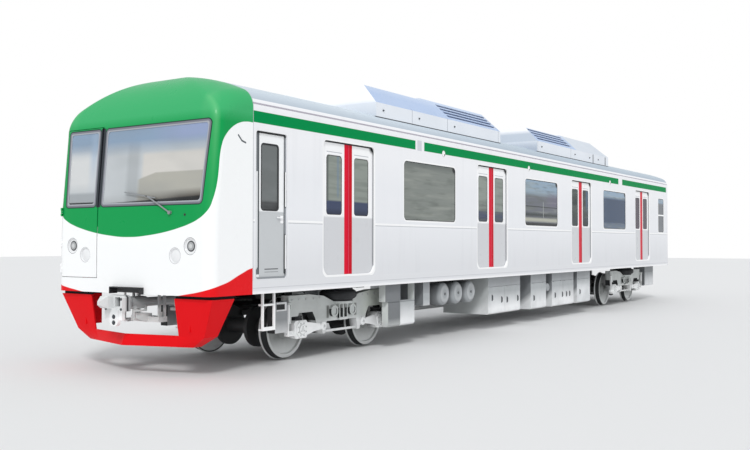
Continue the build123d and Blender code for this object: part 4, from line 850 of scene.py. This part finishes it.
# Nodes of the construction by finish. A star stands for any ending.
FINISHES = {
    "shell": "side_wall_* cantrails end_wall roof",
    "mask": "cab_mask emergency_door",
    "screen_frame": "windscreen_frame emergency_door_frame",
    "screen_glass": "windscreen emergency_door_glass",
    "side_glass": "side_windows",
    "cab_glass": "cab_door_glass_*",
    "cab_door": "cab_door_left cab_door_right",
    "door": "door_leaves_*",
    "leaf_glass": "door_glass_*",
    "trim": "door_frames",
    "interior": "ceiling cab_bulkhead driver_desk",
    "under": "underframe bolsters",
    "case": "equipment_cases",
    "tank": "air_tanks",
    "bogie": "bogie_frame_*",
    "axle_box": "axle_boxes_*",
    "rubber": "bogie_springs_*",
    "wheel": "wheelset_*",
    "coupler": "coupler_head coupler_pockets rear_drawbar",
    "black": "coupler_hood",
    "deflector": "obstacle_deflector",
    "step": "cab_steps",
    "handrail": "cab_handrails",
    "bellows": "gangway_bellows",
    "roof_unit": "air_conditioner_front air_conditioner_rear",
    "louvre": "air_conditioner_louvres",
    "lamp": "lamps_*",
    "wiper": "wiper",
    "seat": "driver_seat",
    "bench": "benches",
    "steel": "grab_poles door_hinges",
}

for name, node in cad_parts.items():
    fits = [finish for finish, names in FINISHES.items() if any(fnmatch(name, one) for one in names.split())]
    node.data.materials.clear()
    node.data.materials.append(materials[fits[0]])


def circle(middle, first, second, radius, sides, start=0):
    """Points round a middle, in the plane of two directions."""
    turns = [start + 2 * math.pi * step / sides for step in range(sides)]
    return [middle + radius * (math.cos(turn) * first + math.sin(turn) * second) for turn in turns]


def add_object(name, data):
    made = bpy.data.objects.new(name, data)
    bpy.context.scene.collection.objects.link(made)
    return made


class Form:
    """A mesh made from loops of points along, across and up."""

    def __init__(self):
        self.mesh = bmesh.new()

    def skin(self, loops, around=False):
        """Faces between successive loops, with the ends filled or joined to each other."""
        rings = [[self.mesh.verts.new(point) for point in loop] for loop in loops]
        pairs = list(zip(rings, rings[1:]))
        if around:
            pairs.append((rings[-1], rings[0]))
        for low, high in pairs:
            for here, point in enumerate(low):
                there = (here + 1) % len(low)
                self.mesh.faces.new((point, low[there], high[there], high[here]))
        if not around:
            self.mesh.faces.new(rings[0][::-1])
            self.mesh.faces.new(rings[-1])

    def ring(self, opening, profile, sign=1, steps=6):
        """A frame round an opening in the side. The profile is pairs of inset and distance across."""
        self.skin([rounded(opening, inset, sign * across, steps) for inset, across in profile], around=True)

    def block(self, x0, x1, y0, y1, z0, z1, bevel=0.004):
        """A block with all its edges bevelled."""
        loops = []
        for y, inset in ((y0, bevel), (y0 + bevel, 0), (y1 - bevel, 0), (y1, bevel)):
            a, b, c, d = x0 + inset, x1 - inset, z0 + inset, z1 - inset
            e = bevel
            foot, head = [(a + e, c), (b - e, c)], [(b - e, d), (a + e, d)]
            outline = foot + [(b, c + e), (b, d - e)] + head + [(a, d - e), (a, c + e)]
            loops.append([(x, y, z) for x, z in outline])
        self.skin(loops)

    def turned(self, place, axis, rows, sides=12):
        """A turned form on an axis. Each row is a distance along the axis and a radius."""
        first = axis.orthogonal().normalized()
        second = axis.cross(first)
        place = Vector(place)
        self.skin([circle(place + axis * along, first, second, radius, sides) for along, radius in rows])

    def bolt(self, place, axis, radius=0.01, height=0.008):
        """A six-sided bolt head with a chamfer, on a washer."""
        self.turned(place, axis, [(0, radius * 1.5), (0.002, radius * 1.5)])
        self.turned(place, axis, [(0.002, radius), (height * 0.8, radius), (height, radius * 0.8)], 6)

    def tube(self, points, radius, sides=8):
        """A round bar along points."""
        points = [Vector(point) for point in points]
        first = (points[1] - points[0]).orthogonal().normalized()
        loops = []
        for number, point in enumerate(points):
            before, *_, after = points[max(number - 1, 0):number + 2]
            run = (after - before).normalized()
            first = (first - run * first.dot(run)).normalized()
            loops.append(circle(point, first, run.cross(first), radius, sides))
        self.skin(loops)

    def mirrored(self):
        """The form and its mirror image across the car's centre plane."""
        parts = self.mesh.verts[:] + self.mesh.edges[:] + self.mesh.faces[:]
        for part in bmesh.ops.duplicate(self.mesh, geom=parts)["geom"]:
            if isinstance(part, bmesh.types.BMVert):
                part.co.y = -part.co.y
        return self

    def done(self, name, finish, body="car_body", slot="black_trim"):
        """The piece itself, which rides on a body."""
        self.mesh.normal_update()
        bmesh.ops.recalc_face_normals(self.mesh, faces=self.mesh.faces[:])
        bmesh.ops.translate(self.mesh, verts=self.mesh.verts[:], vec=(FIRST_DOOR, 0, FLANGE))
        data = bpy.data.meshes.new(name)
        self.mesh.to_mesh(data)
        self.mesh.free()
        data.shade_smooth()
        data.set_sharp_from_angle(angle=math.radians(SHARP_ANGLE))
        data.materials.append(materials[finish])
        piece = add_object(name, data)
        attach(piece, body)
        return piece


def rounded(opening, inset, across, steps):
    """Points round an opening's outline in the side plane, drawn inwards by an inset."""
    x0, x1, z0, z1, high_radius, low_radius = opening
    x0, x1, z0, z1 = x0 + inset, x1 - inset, z0 + inset, z1 - inset
    high, low = max(high_radius - inset, 0.002), max(low_radius - inset, 0.002)
    corners = [
        (x1 - low, z0 + low, low, -90), (x1 - high, z1 - high, high, 0),
        (x0 + high, z1 - high, high, 90), (x0 + low, z0 + low, low, 180),
    ]
    points = []
    for x, z, radius, start in corners:
        for step in range(steps + 1):
            turn = math.radians(start + 90 * step / steps)
            points.append((x + radius * math.cos(turn), across, z + radius * math.sin(turn)))
    return points


def window_trims():
    """A black seal inside each side window, with a finger of rubber against the wall's edge."""
    seals = Form()
    for opening in BIG_WINDOWS + [SMALL_WINDOW]:
        seals.ring(opening, [(0.0, 1.4683), (0.0, 1.474), (0.004, 1.4744), (0.011, 1.4712), (0.012, 1.4683)])
    seals.mirrored().done("side_window_seals", "rubber")


# Profiles round the panes of the leaves: how far inside the pane's edge, and how far across the car.
LEAF_RING = [(-0.024, 1.4365), (-0.021, 1.4391), (0.001, 1.4391), (0.007, 1.431), (0.007, 1.4295)]
LEAF_SEAL = [(0.007, 1.4293), (0.007, 1.4335), (0.015, 1.4312), (0.015, 1.4293)]


def leaf_trims():
    """Rings and seals round the panes of the saloon doors, on each of the four moving bodies."""
    for side, sign in (("left", 1), ("right", -1)):
        for hand, way in (("forward", 1), ("rearward", -1)):
            rings, seals = Form(), Form()
            for door in DOORS:
                x0, x1 = sorted((door + way * LEAF_PANE[0], door + way * LEAF_PANE[1]))
                opening = (x0, x1, *LEAF_PANE[2:])
                rings.ring(opening, LEAF_RING, sign)
                seals.ring(opening, LEAF_SEAL, sign)
            body = f"{side}_leaves_{hand}"
            rings.done(f"leaf_rings_{side}_{hand}", "white_trim", body, "frame_trim")
            seals.done(f"leaf_seals_{side}_{hand}", "rubber", body)


def doorway_seals():
    """Seals inside the doorway frames, next to the leaves."""
    seals = Form()
    for opening in DOORWAYS:
        seals.ring(opening, [(-0.002, 1.4416), (-0.002, 1.454), (0.009, 1.4525), (0.009, 1.4416)], steps=8)
    seals.mirrored().done("doorway_seals", "door_seal")


def cab_doorway_seals():
    """A seal round each cab doorway, inside the wall's edge."""
    seals = Form()
    seals.ring(CAB_DOORWAY, [(-0.002, 1.444), (-0.002, 1.453), (0.024, 1.45), (0.024, 1.444)])
    seals.mirrored().done("cab_doorway_seals", "cab_seal")


def cab_door_trims():
    """The window seal of each cab door, and its lock with a lever."""
    for side, sign in (("left", 1), ("right", -1)):
        seal, lock = Form(), Form()
        profile = [(-0.014, 1.4395), (-0.012, 1.4432), (0.0, 1.4432), (0.008, 1.433), (0.008, 1.4303)]
        seal.ring(CAB_PANE, profile, sign)
        seal.done(f"cab_window_seal_{side}", "rubber", f"cab_door_{side}")
        plate = sorted((sign * 1.4395, sign * 1.445))
        lock.block(1.525, 1.582, *plate, 1.945, 2.05)
        hub = [(0, 0.016), (0.012, 0.016), (0.014, 0.012)]
        lock.turned((1.553, sign * 1.444, 2.015), OUTWARD * sign, hub)
        grip = [(1.553, 1.456, 2.015), (1.59, 1.46, 2.018), (1.665, 1.458, 2.024)]
        lock.tube([(x, sign * y, z) for x, y, z in grip], 0.009)
        lock.done(f"cab_lock_{side}", "white_trim", f"cab_door_{side}", "handrail")


def front_fittings():
    """Washer nozzle, wiper rubber and the bolts of the coupler's foot plate."""
    nozzle = Form()
    rows = [(-0.01, 0.016), (0.004, 0.016), (0.01, 0.009), (0.011, 0.003)]
    nozzle.turned((2.9385, *NOZZLE), AHEAD, rows)
    nozzle.done("washer_nozzle", "black")
    blade = Form()
    blade.tube([(2.936, -0.075, 2.3475), (2.938, 0.495, 2.254)], 0.005, 6)
    blade.tube([(2.95, 0.36, 2.281), (2.942, 0.21, 2.302)], 0.006, 6)
    blade.done("wiper_rubber", "black")
    bolts = Form()
    for across, height in ((0.048, 0.735), (0.048, 0.66)):
        bolts.bolt((3.22, across, height), AHEAD, 0.02, 0.016)
    for across, height in ((-0.13, 0.96), (0.15, 0.96), (-0.14, 0.83), (0.15, 0.83)):
        bolts.bolt((3.19, across, height), AHEAD, 0.012, 0.012)
    bolts.done("coupler_bolts", "dark_metal", "front_coupler", "coupler_paint")


# Bolts of a bogie. On the axle boxes' caps: how far out across the car, radius and number of the
# circle of bolts, turn of its first bolt, and radius and height of a head. On the side frames: how far
# from the bogie's middle, and height.
CAP_BOLTS = [(1.126, 0.094, 8, math.pi / 8, 0.009, 0.01), (1.138, 0.042, 3, math.pi / 2, 0.008, 0.008)]
FRAME_BOLTS = [(0.56, 0.86), (0.72, 0.86), (0.9, 0.86), (1.06, 0.86), (1.22, 0.86), (1.27, 0.6)]


def bogie_bolts():
    """Bolts on the axle boxes' caps, the bushes and the side frames."""
    for place, middle in BOGIES.items():
        bolts = Form()
        for way in (-1, 1):
            axle = middle + way * HALF_BASE
            for out, radius, count, start, *size in CAP_BOLTS:
                for point in circle(Vector((axle, out, WHEEL_R)), AHEAD, UP, radius, count, start):
                    bolts.bolt(point, OUTWARD, *size)
            bolts.bolt((middle + way * 0.52, 1.13, 0.44), OUTWARD, 0.016, 0.014)
            for along, height in FRAME_BOLTS:
                bolts.bolt((middle + way * along, 1.07, height), OUTWARD, 0.012, 0.01)
        bolts.mirrored().done(f"bogie_bolts_{place}", "bolt", f"{place}_bogie", "bogie_paint")


# Hardware on the equipment cases: along and height of each latch.
LATCHES = [
    (-4.96, 0.61), (-5.39, 0.556), (-5.64, 0.543), (-6.15, 0.549), (-6.985, 0.506), (-8.17, 0.51),
    (-8.6, 0.51), (-8.85, 0.51), (-9.05, 0.51), (-9.72, 0.519),
]
# Rear and front edge of each door of the cases.
CASE_DOORS = [
    (-6.275, -5.5325), (-5.5325, -4.79), (-7.65, -6.82), (-9.305, -8.6475), (-8.6475, -7.99),
    (-10.413, -9.535),
]


def case_hardware():
    """Latches in shallow cups, and hinges along the head of each case's door."""
    latches, hinges = Form(), Form()
    depth = (CASE_FACE - 0.002, CASE_FACE + 0.004)
    bow = [(0.002, 0.05), (0.018, 0.036), (0.018, -0.036), (0.002, -0.05)]
    for x, height in LATCHES:
        latches.block(x - 0.02, x + 0.02, *depth, height - 0.062, height + 0.062, 0.002)
        latches.tube([(x, CASE_FACE + out, height + up) for out, up in bow], 0.006)
    for back, front in CASE_DOORS:
        for share in (0.18, 0.82):
            x = back + (front - back) * share
            hinges.tube([(x + end, CASE_FACE + 0.004, CASE_BAND) for end in (-0.045, 0.045)], 0.009)
    latches.mirrored().done("case_latches", "dark_metal", slot="case_paint")
    hinges.mirrored().done("case_hinges", "case", slot="case_paint")


# Fixing points on the skirts of the roof units, and small posts behind them.
EYES = [-1.25, -2.39, -3.67, -7.75, -9.78, -10.79, -11.42]
POSTS = [-11.04, -11.95]


def roof_fittings():
    """Gutters along both sides, and the eyes and posts of the roof units' skirts."""
    gutter, eyes = Form(), Form()
    back, front = REAR + 0.15, MASK_BACK - 0.002
    outline = [(1.469, 3.49), (1.4744, 3.492), (1.4744, 3.503), (1.467, 3.512)]
    gutter.skin([[(x, y, z) for y, z in outline] for x in (back, front)])
    gutter.mirrored().done("gutters", "gutter", slot="body_paint")
    rows = [(0, 0.018), (0.006, 0.018), (0.01, 0.013), (0.022, 0.01), (0.024, 0.006)]
    for x in EYES:
        eyes.turned((x, 1.249, 3.845), OUTWARD, rows)
    for x in POSTS:
        eyes.block(x - 0.008, x + 0.008, 1.246, 1.262, 3.735, 3.95)
    eyes.mirrored().done("roof_unit_fixings", "dark_metal", slot="roof_unit")


def crowned(form, x0, x1, y0, y1, z0, z1, flat, steps=8):
    """A cushion whose two broad faces, across the flat axis, bulge and whose rim is rounded."""
    low, high = Vector((x0, y0, z0)), Vector((x1, y1, z1))
    middle, half = (low + high) / 2, (high - low) / 2
    for axis in range(3):
        others = [other for other in range(3) if other != axis]
        for sign in (-1, 1):
            grid = []
            for row in range(steps + 1):
                line = []
                for column in range(steps + 1):
                    p = Vector((0, 0, 0))
                    p[axis], p[others[0]], p[others[1]] = sign, 2 * row / steps - 1, 2 * column / steps - 1
                    line.append(form.mesh.verts.new(middle + cushion_point(p, flat, half)))
                grid.append(line)
            for row in range(steps):
                for column in range(steps):
                    a, b = grid[row], grid[row + 1]
                    form.mesh.faces.new((a[column], b[column], b[column + 1], a[column + 1]))
    bmesh.ops.remove_doubles(form.mesh, verts=form.mesh.verts[:], dist=0.0005)


def cushion_point(p, flat, half):
    """A point of a unit cube's surface, rounded and crowned, then scaled to the cushion's half sizes."""
    squares = [c * c for c in p]
    ball = [
        p[i] * math.sqrt(1 - squares[i - 1] / 2 - squares[i - 2] / 2 + squares[i - 1] * squares[i - 2] / 3)
        for i in range(3)
    ]
    shape = [p[i] * 0.6 + ball[i] * 0.4 for i in range(3)]
    rim = max(abs(p[i]) for i in range(3) if i != flat)
    shape[flat] = p[flat] * (1 - 0.45 * rim ** 4)
    return Vector([shape[i] * half[i] for i in range(3)])


def driver_place():
    """Padded seat with its pedestal, and the desk's screens and lever."""
    pads, pedestal, desk, screens = Form(), Form(), Form(), Form()
    crowned(pads, 1.645, 2.08, 0.062, 0.538, 1.645, 1.74, 2)
    crowned(pads, 1.6, 1.68, 0.062, 0.538, 1.745, 2.3, 0)
    seat = pads.done("driver_seat_pads", "seat", slot="seat_cover")
    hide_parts("driver_seat")
    post = [(0, 0.059), (0.02, 0.059), (0.04, 0.04), (0.42, 0.04), (0.455, 0.055)]
    pedestal.turned((1.86, 0.3, 1.19), UP, post, 24)
    pedestal.block(1.66, 2.04, 0.1, 0.5, 1.625, 1.655, 0.006)
    pedestal.done("driver_seat_pedestal", "dark_metal", slot="seat_cover")
    for across in (0.02, 0.34, 0.66):
        desk.block(2.44, 2.47, across, across + 0.28, 1.995, 2.175, 0.008)
        screens.block(2.436, 2.441, across + 0.02, across + 0.26, 2.012, 2.158, 0.002)
    lever = [(0, 0.035), (0.012, 0.035), (0.016, 0.012), (0.1, 0.011)]
    knob = [(0, 0.012), (0.006, 0.022), (0.03, 0.024), (0.04, 0.014)]
    desk.turned((2.36, 0.8, 1.975), UP, lever, 16)
    desk.turned((2.36, 0.8, 2.07), UP, knob, 16)
    desk.done("desk_fittings", "black", slot="black_trim")
    screens.done("desk_screens", "screen", slot="black_trim")


def ceiling_lights():
    """Two rows of long lamp covers under the saloon's ceiling."""
    lights = Form()
    for row in range(7):
        back = REAR + 0.55 + row * 2.55
        for across in (-0.62, 0.62):
            lights.block(back, back + 2.3, across - 0.07, across + 0.07, 3.322, 3.352, 0.01)
    lights.done("ceiling_lights", "white_trim", slot="interior_panel")


def end_fittings():
    """Handrails and jumper sockets on the end wall."""
    rails, sockets = Form(), Form()
    wall, out = REAR + 0.002, REAR - 0.055
    rows = [(0, 0.055), (0.02, 0.055), (0.022, 0.042), (0.06, 0.042), (0.064, 0.036)]
    for side in (-1, 1):
        y = side * 1.22
        rails.tube([(wall, y, 1.3), (out, y, 1.33), (out, y, 2.55), (wall, y, 2.58)], 0.011)
        for height in (1.2, 1.42):
            sockets.turned((wall, side * 0.95, height), -AHEAD, rows, 16)
    rails.done("end_handrails", "handrail", slot="handrail")
    sockets.done("end_sockets", "black")


def stage():
    """A pale floor that keeps the car's shadow."""
    mesh = bpy.data.meshes.new("floor")
    corners = ((-1, -1), (1, -1), (1, 1), (-1, 1))
    mesh.from_pydata([(x * FLOOR_REACH, y * FLOOR_REACH, 0) for x, y in corners], [], [(0, 1, 2, 3)])
    mesh.materials.append(Paint("floor_paint", FLOOR_GREY, 0.9).material)
    add_object("floor", mesh)


def light():
    """Soft light from all round and a weak sun. The camera, also through glass, sees a white sky."""
    world = bpy.data.worlds.new("studio")
    bpy.context.scene.world = world
    world.use_nodes = True
    nodes = world.node_tree.nodes
    soft = nodes["Background"]
    put(soft.inputs["Color"], (0.96, 0.98, 1.0, 1))
    put(soft.inputs["Strength"], SKY_STRENGTH)
    seen = nodes.new("ShaderNodeBackground")
    put(seen.inputs["Color"], (1, 1, 1, 1))
    rays = nodes.new("ShaderNodeLightPath").outputs
    choice = nodes.new("ShaderNodeMixShader")
    put(choice.inputs[0], Value(rays["Is Camera Ray"]) | Value(rays["Is Transmission Ray"]))
    put(choice.inputs[1], Value(soft.outputs[0]))
    put(choice.inputs[2], Value(seen.outputs[0]))
    put(nodes["World Output"].inputs["Surface"], Value(choice.outputs[0]))

    sun = bpy.data.lights.new("key", "SUN")
    sun.energy = SUN_STRENGTH
    sun.angle = math.radians(SUN_ANGLE)
    key = add_object("key", sun)
    key.rotation_euler = Vector(SUN_FROM).to_track_quat("Z", "Y").to_euler()


def camera():
    data = bpy.data.cameras.new("camera")
    data.lens = CAMERA_LENS
    data.sensor_width = SENSOR
    data.clip_end = CAMERA_REACH
    eye = add_object("camera", data)
    eye.location = CAMERA_PLACE
    eye.rotation_euler = [math.radians(turn) for turn in CAMERA_TURN]
    bpy.context.scene.camera = eye


for make in (
    window_trims, leaf_trims, doorway_seals, cab_doorway_seals, cab_door_trims, front_fittings,
    bogie_bolts, case_hardware, roof_fittings, driver_place, ceiling_lights, end_fittings,
    stage, light, camera,
):
    make()
bpy.context.scene.view_settings.view_transform = "Standard"
